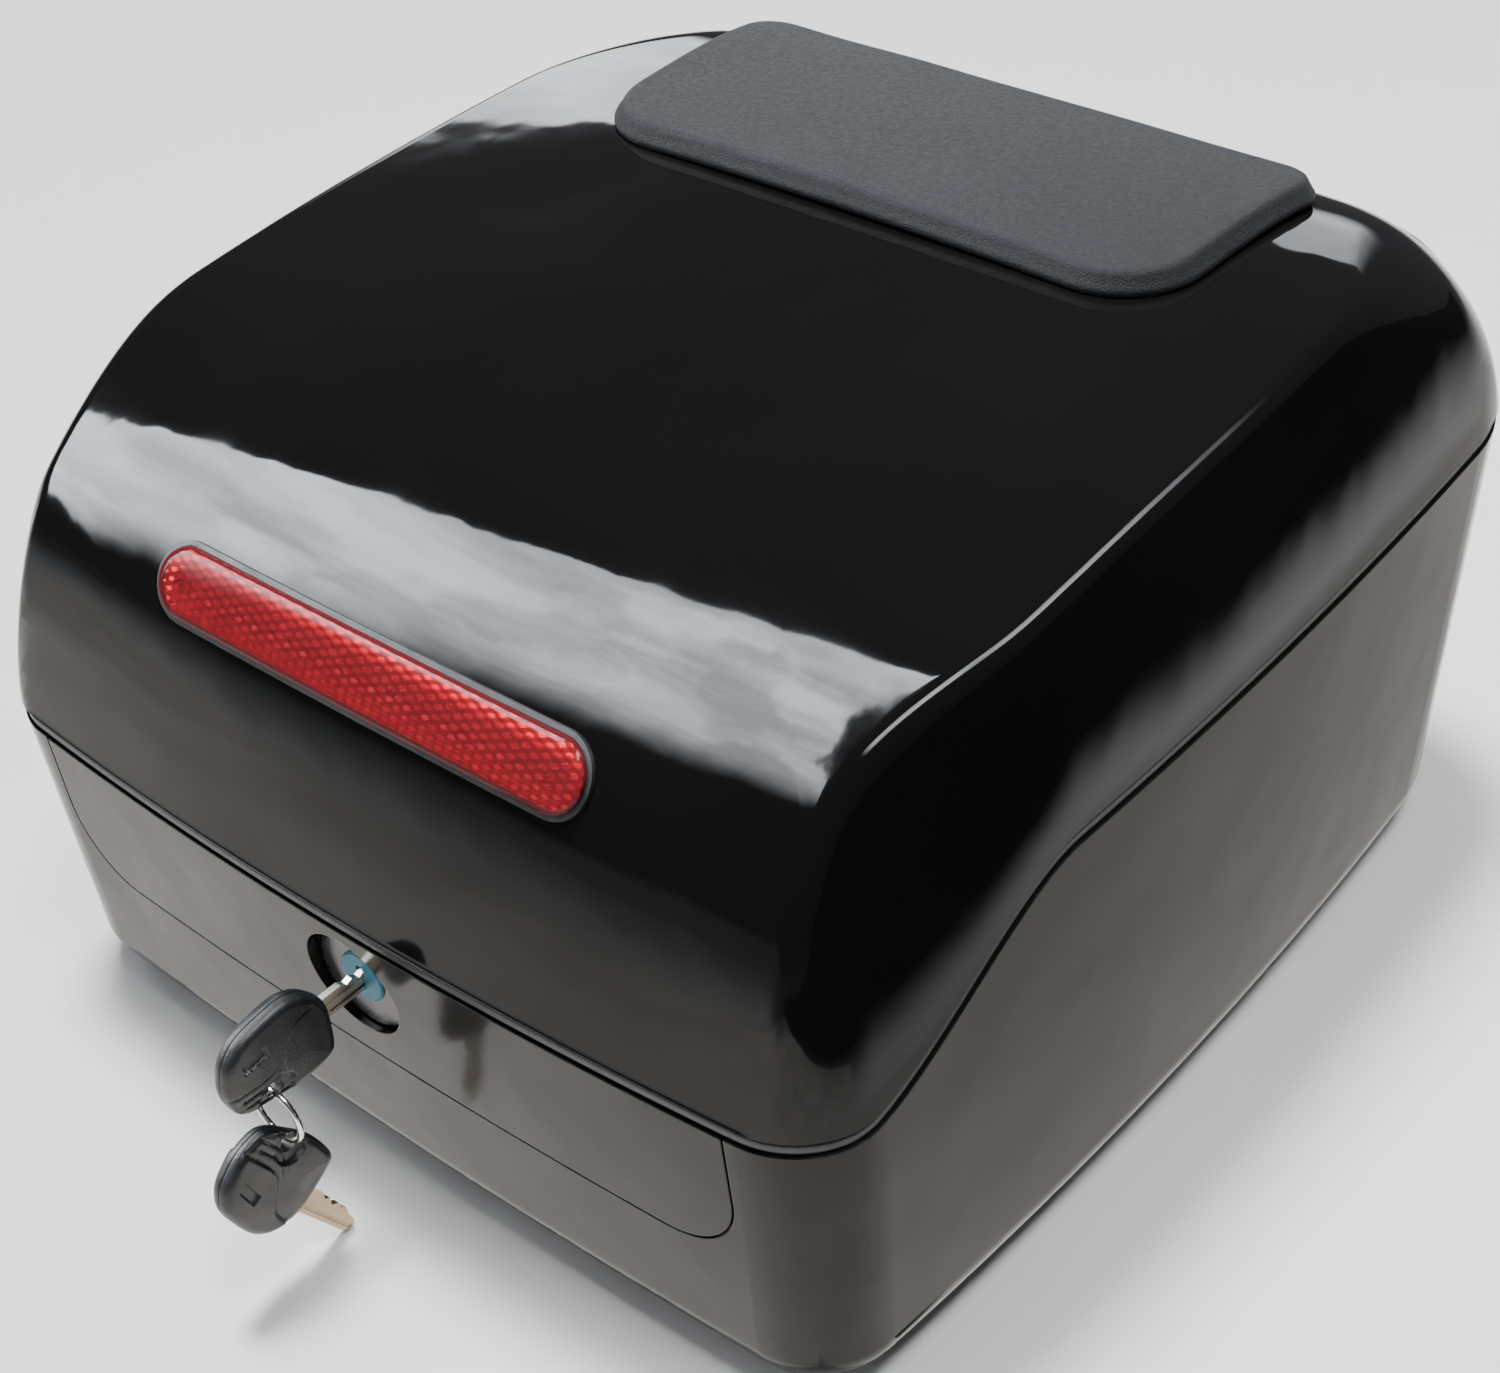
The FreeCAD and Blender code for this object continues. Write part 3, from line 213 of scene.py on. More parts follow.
def crown_point(x, s):
    k = (x / SPAN) ** 2
    y, z, bow, drop = section_at(s, *SECTION.T, SECTION_BOW, SECTION_DROP)
    return np.stack([x, y + bow * k, z - drop * k], -1)


def crown_normal(x, s):
    dy, dz, bow, drop = section_at(s, *SECTION_SLOPE.T, SECTION_BOW, SECTION_DROP)
    rate = 2 * x / SPAN ** 2
    return unit(np.stack([rate * (bow * dz + drop * dy), -dz, dy], -1))


def over_crown(x, s, height):
    return crown_point(x, s) + crown_normal(x, s) * np.asarray(height)[..., None]


def to_crown(points):
    """Signed distance to the lid's top surface, its parameter, and the surface's normal."""
    coarse = slice(None, None, 16)
    k = (points[:, 0] / SPAN) ** 2
    y = SECTION[coarse, 0] + SECTION_BOW[coarse] * k[:, None]
    z = SECTION[coarse, 1] - SECTION_DROP[coarse] * k[:, None]
    away = (points[:, 1, None] - y) ** 2 + (points[:, 2, None] - z) ** 2
    s = SECTION_S[coarse][np.argmin(away, axis=1)]
    for _ in range(4):
        gap = points - crown_point(points[:, 0], s)
        dy, dz = section_at(s, *SECTION_SLOPE.T)
        s = np.clip(s + gap[:, 1] * dy + gap[:, 2] * dz, 0, SECTION_S[-1])
    normal = crown_normal(points[:, 0], s)
    gap = points - crown_point(points[:, 0], s)
    return (gap * normal).sum(-1), s, normal


SEAM_STEPS = np.hypot(*(np.roll(SEAM, -1, axis=0) - SEAM).T)
SEAM_S = np.r_[0, np.cumsum(SEAM_STEPS)]
SEAM_LOOP = np.vstack([SEAM, SEAM[:1]])
NORMAL_LOOP = np.vstack([RING_NORMALS, RING_NORMALS[:1]])


def seam_at(s):
    s = np.mod(s, SEAM_S[-1])
    return np.stack([np.interp(s, SEAM_S, SEAM_LOOP[:, i]) for i in range(2)], -1)


def seam_normal_at(s):
    s = np.mod(s, SEAM_S[-1])
    return unit(np.stack([np.interp(s, SEAM_S, NORMAL_LOOP[:, i]) for i in range(2)], -1))


def lean_at(height):
    """The lid's side inset above the parting line, and its slope."""
    rise = np.clip(height, 0, None) / LEAN_HEIGHT
    inset = LEAN * rise ** LEAN_POWER
    slope = LEAN * LEAN_POWER / LEAN_HEIGHT * rise ** (LEAN_POWER - 1)
    capped = LEAN_EASED + LEAN_REST * (1 - np.exp((LEAN_EASED - inset) / LEAN_REST))
    return np.where(inset > LEAN_EASED, capped, inset), slope


def to_side(points):
    """Signed distance to the lid's side surface, and the surface's normal."""
    coarse = SEAM[::4]
    away = ((points[:, None, :2] - coarse[None]) ** 2).sum(-1)
    s = SEAM_S[:-1][::4][np.argmin(away, axis=1)]
    for _ in range(4):
        normal = seam_normal_at(s)
        along = np.stack([-normal[:, 1], normal[:, 0]], -1)
        s = s + ((points[:, :2] - seam_at(s)) * along).sum(-1) * 0.7
    normal, foot = seam_normal_at(s), seam_at(s)
    inset, slope = lean_at(points[:, 2] - seam_height(foot[:, 1]))
    flat = ((points[:, :2] - foot) * normal).sum(-1) + inset
    scale = 1 / np.sqrt(1 + slope ** 2)
    return flat * scale, np.column_stack([normal, slope]) * scale[:, None]


def lid_distance(points):
    """Distance to the rounded lid, and the way to move towards it."""
    top, _, top_normal = to_crown(points)
    side, side_normal = to_side(points)
    opened = smooth((1 - (top_normal * side_normal).sum(-1)) / 0.25)
    growth = CREASE_GROWTH * smooth((points[:, 1] - CREASE_FROM) / CREASE_OVER)
    radius = (CREASE_RADIUS + growth) * opened + 1e-6
    u, v = np.maximum(radius + top, 0), np.maximum(radius + side, 0)
    rounded = np.minimum(-radius, np.maximum(top, side)) + np.hypot(u, v)
    deep = u + v < 1e-6
    u, v = np.where(deep & (top >= side), 1.0, u), np.where(deep & (top < side), 1.0, v)
    return rounded, unit(top_normal * u[:, None] + side_normal * v[:, None])


# ---- mesh helpers

def add_object(name, data):
    thing = bpy.data.objects.new(name, data)
    bpy.context.scene.collection.objects.link(thing)
    return thing


def make_object(name, points_mm, faces, body, material, replaces=(), sharp=35.0):
    mesh = bpy.data.meshes.new(name)
    mesh.from_pydata(metres(points_mm).tolist(), [], faces)
    mesh.validate()
    return finish_object(name, mesh, body, material, replaces, sharp)


def finish_object(name, mesh, body, material, replaces=(), sharp=35.0):
    thing = add_object(name, mesh)
    for polygon in mesh.polygons:
        polygon.use_smooth = True
    mesh.set_sharp_from_angle(angle=math.radians(sharp))
    mesh.materials.clear()
    mesh.materials.append(material)
    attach(thing, body)
    if replaces:
        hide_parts(*replaces)
    return thing


def band_faces(rows, columns, closed=True, flip=False):
    """Quads between consecutive rows of points."""
    faces = []
    last = columns if closed else columns - 1
    for r in range(rows - 1):
        for c in range(last):
            d = (c + 1) % columns
            quad = (r * columns + c, r * columns + d, (r + 1) * columns + d, (r + 1) * columns + c)
            faces.append(quad[::-1] if flip else quad)
    return faces


def join_to_first(start, columns):
    """Quads from the closed row of points at start to the very first row."""
    return [(start + c, start + (c + 1) % columns, (c + 1) % columns, c) for c in range(columns)]


def fan(start, columns, tip, flip=False):
    """Triangles from a closed row of points to one point."""
    pairs = [(start + c, start + (c + 1) % columns) for c in range(columns)]
    return [(b, a, tip) if flip else (a, b, tip) for a, b in pairs]


# ---- lid

def lid_skin():
    """Rows of points of the lid's outer face, from the parting line to the middle of the top."""
    columns = len(SEAM)

    def side_point(index, height):
        inset, _ = lean_at(height)
        flat = SEAM[index] - RING_NORMALS[index] * inset[:, None]
        return np.column_stack([flat, SEAM_Z[index] + height])

    every = np.arange(columns)
    crease = np.zeros(columns)
    inside = np.ones(columns, bool)
    for height in np.arange(0, CREASE_TOP, 1.0):
        outside = to_crown(side_point(every, np.full(columns, height)))[0] > 0
        crease = np.where(inside & ~outside, height, crease)
        inside &= ~outside
    low, high = crease.copy(), crease + 1.0
    for _ in range(14):
        middle = (low + high) / 2
        outside = to_crown(side_point(every, middle))[0] > 0
        low, high = np.where(outside, low, middle), np.where(outside, middle, high)
    front = to_crown(side_point(every, np.zeros(columns)))[0] > 0
    crease = np.where(front, 0.0, low)
    corner = side_point(every, crease)
    _, corner_s, _ = to_crown(corner)
    front_foot = np.interp(SEAM_Z, SECTION[:400, 1], SECTION_S[:400])
    back_foot = np.interp(SEAM_Z, SECTION[:2200:-1, 1], SECTION_S[:2200:-1])
    foot_s = np.where(SEAM[:, 1] < 0, front_foot, back_foot)
    corner_s = np.where(front, foot_s, corner_s)
    middle_s = np.interp(MIDDLE_Y, SECTION[:, 0], SECTION_S)

    paths, lengths, marks = [], [], []
    for i in range(columns):
        up = np.arange(0, crease[i], 0.5)
        side = side_point(np.full(len(up), i), up) if crease[i] > 0 else np.zeros((0, 3))
        t = np.linspace(0, 1, 260) ** 1.2
        top = crown_point(corner[i, 0] * (1 - t), corner_s[i] + (middle_s - corner_s[i]) * t)
        path = np.vstack([side, top])
        run = np.r_[0, np.cumsum(np.linalg.norm(np.diff(path, axis=0), axis=1))]
        paths.append(path)
        lengths.append(run)
        marks.append(run[len(side)])
    marks = np.maximum(np.array(marks), SIDE_RUN)
    t_side = np.linspace(0, 1, SIDE_ROWS + 1)[:-1]
    t_top = np.linspace(0, 1, TOP_ROWS + 1)[:-1]
    part_side = 1 - (0.6 * (1 - t_side) + 0.4 * (1 - t_side) ** 2)
    part_top = 0.42 * t_top + 0.58 * t_top ** 2.2
    grid = np.zeros((len(t_side) + len(t_top), columns, 3))
    for i in range(columns):
        run, mark = lengths[i], marks[i]
        places = np.r_[mark * part_side, mark + (run[-1] - mark) * part_top]
        for axis in range(3):
            grid[:, i, axis] = np.interp(places, run, paths[i][:, axis])
    flat = grid.reshape(-1, 3)
    for _ in range(7):
        off, way = lid_distance(flat)
        flat = flat - way * off[:, None]
    grid = flat.reshape(grid.shape)
    grid[0, :, 2] = seam_height(grid[0, :, 1])
    return grid


def grid_normals(grid):
    along = np.roll(grid, -1, axis=1) - np.roll(grid, 1, axis=1)
    up = np.gradient(grid, axis=0)
    return unit(np.cross(along, up))


def build_lid(material, inner_material):
    grid = lid_skin()
    rows, columns = grid.shape[:2]
    normals = grid_normals(grid)
    plan_normals = unit(normals * np.array([1, 1, 0]) + 1e-9)
    lip = grid[0] - plan_normals[0] * LIP
    lip[:, 2] = seam_height(lip[:, 1])
    grid[0, :, 2] += LIP
    grid[1, :, 2] = np.maximum(grid[1, :, 2], grid[0, :, 2] + 0.4)
    middle_s = np.interp([MIDDLE_Y], SECTION[:, 0], SECTION_S)
    centre = np.array([[0.0, MIDDLE_Y, crown_point(np.zeros(1), middle_s)[0, 2]]])
    outer = np.vstack([lip[None], grid]).reshape(-1, 3)
    outer_rows = rows + 1
    height = grid[:, :, 2] - seam_height(grid[:, :, 1])
    thick = np.where(height < RIM_HEIGHT, RIM_THICK, WALL)[..., None]
    sunk = np.where(height[..., None] < RIM_HEIGHT, plan_normals, normals)
    inner = grid - sunk * thick
    inner[0] = lip - plan_normals[0] * (RIM_THICK - LIP)
    inner[0, :, 2] = seam_height(inner[0, :, 1])
    peak = centre - np.array([[0, 0, WALL]])

    points = np.vstack([outer, centre, inner.reshape(-1, 3), peak])
    top_index = outer_rows * columns
    inner_start = top_index + 1
    inner_faces = band_faces(rows, columns, flip=True)
    faces = band_faces(outer_rows, columns) + fan(top_index - columns, columns, top_index)
    faces += [tuple(i + inner_start for i in face) for face in inner_faces]
    faces += fan(inner_start + (rows - 1) * columns, columns, len(points) - 1, flip=True)
    faces += join_to_first(inner_start, columns)
    lid = make_object("lid_dome", points, faces, "lid", material,
                      replaces=("lid_shell",), sharp=50)
    lid.data.materials.append(inner_material)
    indices = np.zeros(len(lid.data.polygons), np.int32)
    indices[top_index:] = 1
    lid.data.polygons.foreach_set("material_index", indices)


# ---- rim seal

SEAL_CENTRE, SEAL_DROP, SEAL_HALF_WIDTH, SEAL_HALF_HEIGHT = 3.1, 2.35, 2.2, 1.95
SEAL_POINTS, SEAL_SQUARE = 24, 0.6


def build_seal(material):
    """A rounded bead that follows the parting line between the two rims."""
    rings = []
    for angle in np.arange(SEAL_POINTS) * 2 * math.pi / SEAL_POINTS:
        across, along = (math.copysign(abs(way) ** SEAL_SQUARE, way)
                         for way in (math.cos(angle), math.sin(angle)))
        flat = SEAM - RING_NORMALS * (SEAL_CENTRE - SEAL_HALF_WIDTH * across)
        level = SEAM_Z - SEAL_DROP + SEAL_HALF_HEIGHT * along
        rings.append(np.column_stack([flat, level]))
    columns = len(SEAM)
    faces = band_faces(len(rings), columns) + join_to_first((len(rings) - 1) * columns, columns)
    make_object("rim_bead", np.vstack(rings), faces, "case", material,
                replaces=("rim_seal",), sharp=70)


# ---- reflector

REFLECTOR_CENTRE = np.array([[0.0, -164.4, 171.2]])
LENS_LENGTH, LENS_WIDTH = 78.1, 10.1
LENS_EDGE, LENS_SEAT, LENS_SAG = 2.3, 0.95, 4.27
PLATE_LENGTH, PLATE_WIDTH, PLATE_STEP = 77.2, 9.2, 0.35
PRISM_PITCH, PRISM_SLANT, PRISM_DEPTH, PRISM_SEAT = 2.7, 0.42, 0.8, 0.5


def on_front_slope(u, v, height):
    """A point over the lid's front slope: along x, up the slope, and off the surface."""
    middle_s = to_crown(REFLECTOR_CENTRE)[1][0]
    s = middle_s + v - LENS_SAG * (u / SPAN) ** 2
    return over_crown(u, s, height)


def pill_ring(length, width, count=200):
    """Points round a straight-sided outline with half-round ends."""
    straight = length - width
    places = np.arange(count // 2) / count * (4 * straight + 2 * math.pi * width)
    turn = np.clip((places - 2 * straight) / width, 0, None) - math.pi / 2
    half = np.column_stack([np.minimum(places, 2 * straight) - straight + width * np.cos(turn),
                            width * np.sin(turn)])
    return np.vstack([half, -half])


def build_reflector(cover_material, prism_material):
    """A smooth clear cover over a plate of moulded pyramids."""
    rows = []
    for inset in (0, 0, 0.12, 0.4, 0.85, 1.5, 2.3, 3.5, 5.0, 7.0, 9.0, LENS_WIDTH - 0.04):
        first = len(rows) == 0
        bend = min(inset / LENS_EDGE, 1.0)
        height = -0.2 if first else LENS_SEAT + LENS_EDGE * math.sqrt(1 - (1 - bend) ** 2)
        ring = pill_ring(LENS_LENGTH - inset, LENS_WIDTH - inset)
        rows.append(on_front_slope(*ring.T, height))
    faces = band_faces(len(rows), len(rows[0]))
    cover = make_object("reflector_cover", np.vstack(rows), faces, "lid",
                        cover_material, replaces=("reflector_lens",), sharp=60)
    weld(cover, 0.0001)

    columns, lines = int(2 * PLATE_LENGTH / PLATE_STEP), int(2 * PLATE_WIDTH / PLATE_STEP)
    u, v = np.meshgrid(np.linspace(-PLATE_LENGTH, PLATE_LENGTH, columns),
                       np.linspace(-PLATE_WIDTH, PLATE_WIDTH, lines))
    ridges = [np.abs(((u * PRISM_SLANT + side * v) / PRISM_PITCH) % 1 - 0.5) * 2
              for side in (1, -1)]
    height = PRISM_SEAT + PRISM_DEPTH * (ridges[0] + ridges[1]) / 2
    over = np.hypot(np.clip(np.abs(u) - (PLATE_LENGTH - PLATE_WIDTH), 0, None), v)
    inside = over < PLATE_WIDTH
    points = on_front_slope(u.ravel(), v.ravel(), height.ravel())
    faces = []
    for r in range(lines - 1):
        for c in range(columns - 1):
            if inside[r, c] and inside[r, c + 1] and inside[r + 1, c] and inside[r + 1, c + 1]:
                i = r * columns + c
                faces.append((i, i + 1, i + columns + 1, i + columns))
    plate = make_object("reflector_prisms", points, faces, "lid",
                        prism_material, sharp=180)
    weld(plate, 0.0)
    for polygon in plate.data.polygons:
        polygon.use_smooth = False


def weld(thing, distance, close=False):
    """Merge points closer than distance and drop loose ones; close also makes a solid of it."""
    mesh = bmesh.new()
    mesh.from_mesh(thing.data)
    if distance:
        bmesh.ops.remove_doubles(mesh, verts=mesh.verts, dist=distance)
    loose = [vertex for vertex in mesh.verts if not vertex.link_faces]
    bmesh.ops.delete(mesh, geom=loose, context="VERTS")
    if close:
        open_edges = [edge for edge in mesh.edges if edge.is_boundary]
        if open_edges:
            bmesh.ops.holes_fill(mesh, edges=open_edges, sides=0)
        bmesh.ops.recalc_face_normals(mesh, faces=mesh.faces)
    mesh.to_mesh(thing.data)
    mesh.free()


# ---- backrest pad

PAD_FRONT, PAD_FRONT_HALF, PAD_FRONT_ROUND = 37.0, 106.5, 27.0
PAD_BACK, PAD_BACK_HALF, PAD_BACK_ROUND = 133.0, 108.0, 15.0
PAD_THICK, PAD_BEVEL, PAD_LIP, PAD_GAP = 7.0, 3.4, 2.6, 0.35
FOAM_PUSH, FOAM_VOXEL, FOAM_SPREAD = 0.0012, 0.005, 0.011


def pad_outline(inset, count):
    """The pad's outline in (x, s), where s runs back over the lid's top."""
    front, back = np.interp([PAD_FRONT, PAD_BACK], SECTION[:2300, 0], SECTION_S[:2300])
    front_half, back_half = PAD_FRONT_HALF - inset, PAD_BACK_HALF - inset
    front_round, back_round = PAD_FRONT_ROUND - inset, max(PAD_BACK_ROUND - inset, 1.0)
    corners = [(-front_half, front + inset, front_round), (front_half, front + inset, front_round),
               (back_half, back - inset, back_round), (-back_half, back - inset, back_round)]
    path = []
    for (x, s, radius), start in zip(corners, (180, 270, 0, 90)):
        centre = (x + (radius if x < 0 else -radius), s + (radius if s < back - 40 else -radius))
        for k in range(13):
            angle = math.radians(start + 90 * k / 12)
            path.append((centre[0] + radius * math.cos(angle),
                         centre[1] + radius * math.sin(angle)))
    path = np.array(path + path[:1])
    run = np.r_[0, np.cumsum(np.hypot(*np.diff(path, axis=0).T))]
    places = np.linspace(0, run[-1], count, endpoint=False)
    return np.column_stack([np.interp(places, run, path[:, i]) for i in range(2)])


def pad_height(inset):
    """The cushion's height at a distance inside its outline: a lip, a bevel, then the top."""
    rise = smooth(inset / (PAD_BEVEL + 1.2)) * 0.6 + np.clip(inset / PAD_BEVEL, 0, 1) * 0.4
    return PAD_LIP + (PAD_THICK - PAD_LIP) * rise


def build_pad(material):
    insets = [0.6, 0.15, 0.0, 0.1, 0.5, 1.1, 1.8, 2.6, 3.4, 4.3, 5.5, 7.5, 11.0, 15.0]
    heights = [PAD_GAP, 0.8, 1.5, 2.3] + [float(pad_height(i)) for i in insets[4:]]
    count = 360
    rows = [over_crown(*pad_outline(i, count).T, h) for i, h in zip(insets, heights)]
    last = pad_outline(insets[-1], count)
    middle = last.mean(axis=0)
    for part in np.linspace(0, 1, 14)[1:-1]:
        rows.append(over_crown(*(last + (middle - last) * part).T, PAD_THICK))
    base = pad_outline(insets[0], count)
    for part in (0.8, 0.5, 0.2):
        rows.insert(0, over_crown(*(middle + (base - middle) * part).T, PAD_GAP))
    top = len(rows) * count
    faces = (band_faces(len(rows), count) + fan(top - count, count, top)
             + fan(0, count, top + 1, flip=True))
    points = np.vstack(rows + [over_crown(*middle, height) for height in (PAD_THICK, PAD_GAP)])
    pad = make_object("pad_cushion", points, faces, "lid", material,
                      replaces=("backrest_pad",), sharp=180)
    puff(pad)


def puff(pad):
    """Let the foam push the cover out a little, as cloth under pressure; movement is capped."""
    scene = bpy.context.scene
    skin = add_object("pad_sim", pad.data.copy())
    remesh = skin.modifiers.new("even", "REMESH")
    remesh.mode = "VOXEL"
    remesh.voxel_size = FOAM_VOXEL
    graph = bpy.context.evaluated_depsgraph_get()
    even = bpy.data.meshes.new_from_object(skin.evaluated_get(graph))
    skin.modifiers.clear()
    skin.data = even
    start = np.array([vertex.co[:] for vertex in even.vertices])
    cloth = skin.modifiers.new("foam", "CLOTH")
    cloth.settings.use_pressure = True
    cloth.settings.uniform_pressure_force = 4.0
    cloth.settings.effector_weights.gravity = 0.0
    cloth.settings.tension_stiffness = 25.0
    cloth.settings.quality = 6
    for frame_number in range(1, 21):
        scene.frame_set(frame_number)
    settled = skin.evaluated_get(bpy.context.evaluated_depsgraph_get()).data
    moved = np.array([vertex.co[:] for vertex in settled.vertices]) - start
    length = np.linalg.norm(moved, axis=1, keepdims=True)
    moved *= np.minimum(1.0, FOAM_PUSH / np.maximum(length, 1e-9))
    bpy.data.objects.remove(skin)
    scene.frame_set(1)
    tree = KDTree(len(start))
    for index, point in enumerate(start):
        tree.insert(point, index)
    tree.balance()
    for vertex in pad.data.vertices:
        near = tree.find_n(vertex.co, 60)
        weights = np.array([math.exp(-(distance / FOAM_SPREAD) ** 2) + 1e-6
                            for _, _, distance in near])
        shift = (np.array([moved[index] for _, index, _ in near]) * weights[:, None]).sum(0)
        vertex.co = vertex.co + Vector(shift / weights.sum())


# ---- keys

HEAD_OUTLINE = np.array([
    (0.0, -13.0), (0.0, 4.0), (-7.0, 12.0), (-14.0, 14.5), (-29.0, 12.5), (-35.5, 6.5),
    (-37.5, -4.0), (-34.0, -13.5), (-14.0, -17.0), (-3.0, -15.5)])
HEAD_CENTRE = np.array([-18.5, -1.0])
HEAD_THICK = 9.0
EYE = np.array([-22.0, -12.6])
EYE_RADIUS = 2.9
KEY_SHOULDER = np.array([0.0, -197.0, LOCK_Z])
SPARE_TURN = math.radians(-58.0)
RING_RADIUS, RING_PLAY = 9.0, 1.2


def rounded_outline(corners, rounds=4):
    """Cut the corners of a closed polygon again and again until it is a smooth curve."""
    path = corners
    for _ in range(rounds):
        following = np.roll(path, -1, axis=0)
        path = np.stack([path * 0.8 + following * 0.2, path * 0.2 + following * 0.8],
                        axis=1).reshape(-1, 2)
    return path


def distance_to_path(points, path):
    start, stop = path, np.roll(path, -1, axis=0)
    run = stop - start
    along = ((points[:, None] - start) * run).sum(-1) / (run ** 2).sum(-1)
    foot = start + run * np.clip(along, 0, 1)[..., None]
    return np.sqrt(((points[:, None] - foot) ** 2).sum(-1)).min(1)


def head_relief(points):
    """Height taken off a key head's face: the stepped S, two grip grooves and a slot."""
    u, v = points[:, 0], points[:, 1]
    curve = 1.5 + 6.5 * np.tanh((u + 17.0) / 4.0) * 0.9
    step = smooth((curve - v) / 0.9 + 0.5)
    taken = 0.75 * step
    taken += 0.45 * np.exp(-((curve - v - 0.4) / 0.45) ** 2)
    for offset in (3.4, 6.0):
        groove = np.exp(-((v - curve + offset) / 0.45) ** 2)
        taken += 0.5 * groove * smooth((-u - 17.0) / 3.0) * smooth((u + 36.0) / 3.0)
    slot = np.maximum(np.abs(u + 27.0) - 3.8, np.abs(v - 4.2 - 0.18 * (u + 27.0)) - 1.5)
    taken += 0.9 * smooth(0.5 - slot / 0.5)
    lobe = np.hypot(u - EYE[0], v - EYE[1])
    taken += 1.2 * smooth((6.4 - lobe) / 0.8)
    return taken


def key_head_points():
    """Rows of a head, from the middle of one face over the edge to the middle of the other."""
    outline = rounded_outline(HEAD_OUTLINE)
    columns = len(outline)
    parts = np.r_[np.linspace(0, 0.62, 26), np.linspace(0.62, 1.0, 40)[1:]]
    half = HEAD_THICK / 2
    rows = []
    for part in parts:
        flat = HEAD_CENTRE + (outline - HEAD_CENTRE) * max(part, 1e-4)
        depth = distance_to_path(flat, outline)
        bend = np.clip(depth / 2.6, 0, 1)
        crown = 0.8 * smooth(depth / 11.0)
        height = (half - 0.8) * (0.22 + 0.78 * np.sqrt(1 - (1 - bend) ** 2)) + crown
        height -= head_relief(flat) * np.clip(depth / 1.2, 0, 1)
        rows.append(np.column_stack([height, flat]))
    front = np.stack(rows)
    edge = []
    for level, sink in ((0.45, 0.0), (0.16, 0.04), (0.0, 0.38), (-0.16, 0.04), (-0.45, 0.0)):
        flat = outline - unit(outline - HEAD_CENTRE) * sink
        edge.append(np.column_stack([np.full(columns, level), flat]))
    back = front[::-1].copy()
    back[..., 0] *= -1
    return np.concatenate([front, np.stack(edge), back]), columns


def build_key_heads(material):
    rows, columns = key_head_points()
    faces = band_faces(len(rows), columns)
    spare_centre = np.array([0, KEY_SHOULDER[1] + EYE[0],
                             LOCK_Z + EYE[1] - 2 * (RING_RADIUS + RING_PLAY)])
    spare_turn = np.array(Matrix.Rotation(SPARE_TURN, 3, "X"))
    spare_base = spare_centre - spare_turn @ np.array([0, EYE[0], -EYE[1]])
    for name, node, body, flip, turn, base in (
            ("main_key_grip", "key_head", "key", 1, np.eye(3), KEY_SHOULDER),
            ("spare_key_grip", "spare_key_head", "spare_key", -1, spare_turn, spare_base)):
        mirror = np.array([1, 1, flip])
        placed = rows.reshape(-1, 3) * mirror @ turn.T + base
        eye = turn @ (np.array([0, *EYE]) * mirror) + base
        wound = faces if flip < 0 else [face[::-1] for face in faces]
        head = make_object(name, placed, wound, body, material,
                           replaces=(node,), sharp=38)
        weld(head, 0.00002, close=True)
        drill_along_x(head, eye, EYE_RADIUS)


def drill_along_x(thing, centre_mm, radius_mm):
    mesh = bmesh.new()
    bmesh.ops.create_cone(mesh, cap_ends=True, segments=40, radius1=radius_mm / 1000,
                          radius2=radius_mm / 1000, depth=0.03,
                          matrix=Matrix.Translation(metres(centre_mm))
                          @ Matrix.Rotation(math.pi / 2, 4, "Y"))
    data = bpy.data.meshes.new("drill")
    mesh.to_mesh(data)
    mesh.free()
    drill = add_object("drill", data)
    cut = thing.modifiers.new("eye", "BOOLEAN")
    cut.operation = "DIFFERENCE"
    cut.solver = "EXACT"
    cut.object = drill
    graph = bpy.context.evaluated_depsgraph_get()
    result = bpy.data.meshes.new_from_object(thing.evaluated_get(graph))
    thing.modifiers.clear()
    result.name = thing.name
    thing.data = result
    bpy.data.objects.remove(drill)


# ---- button spring


def build_button_spring(material):
    """The button's return spring, copied from the part's mesh into a fixed object of its own."""
    node = NODES["button_spring"]
    mesh = node.data.copy()
    mesh.transform(node.matrix_world)
    spring = finish_object("return_spring", mesh, "case", material,
                           replaces=("button_spring",))
    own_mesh(spring)


# ---- materials

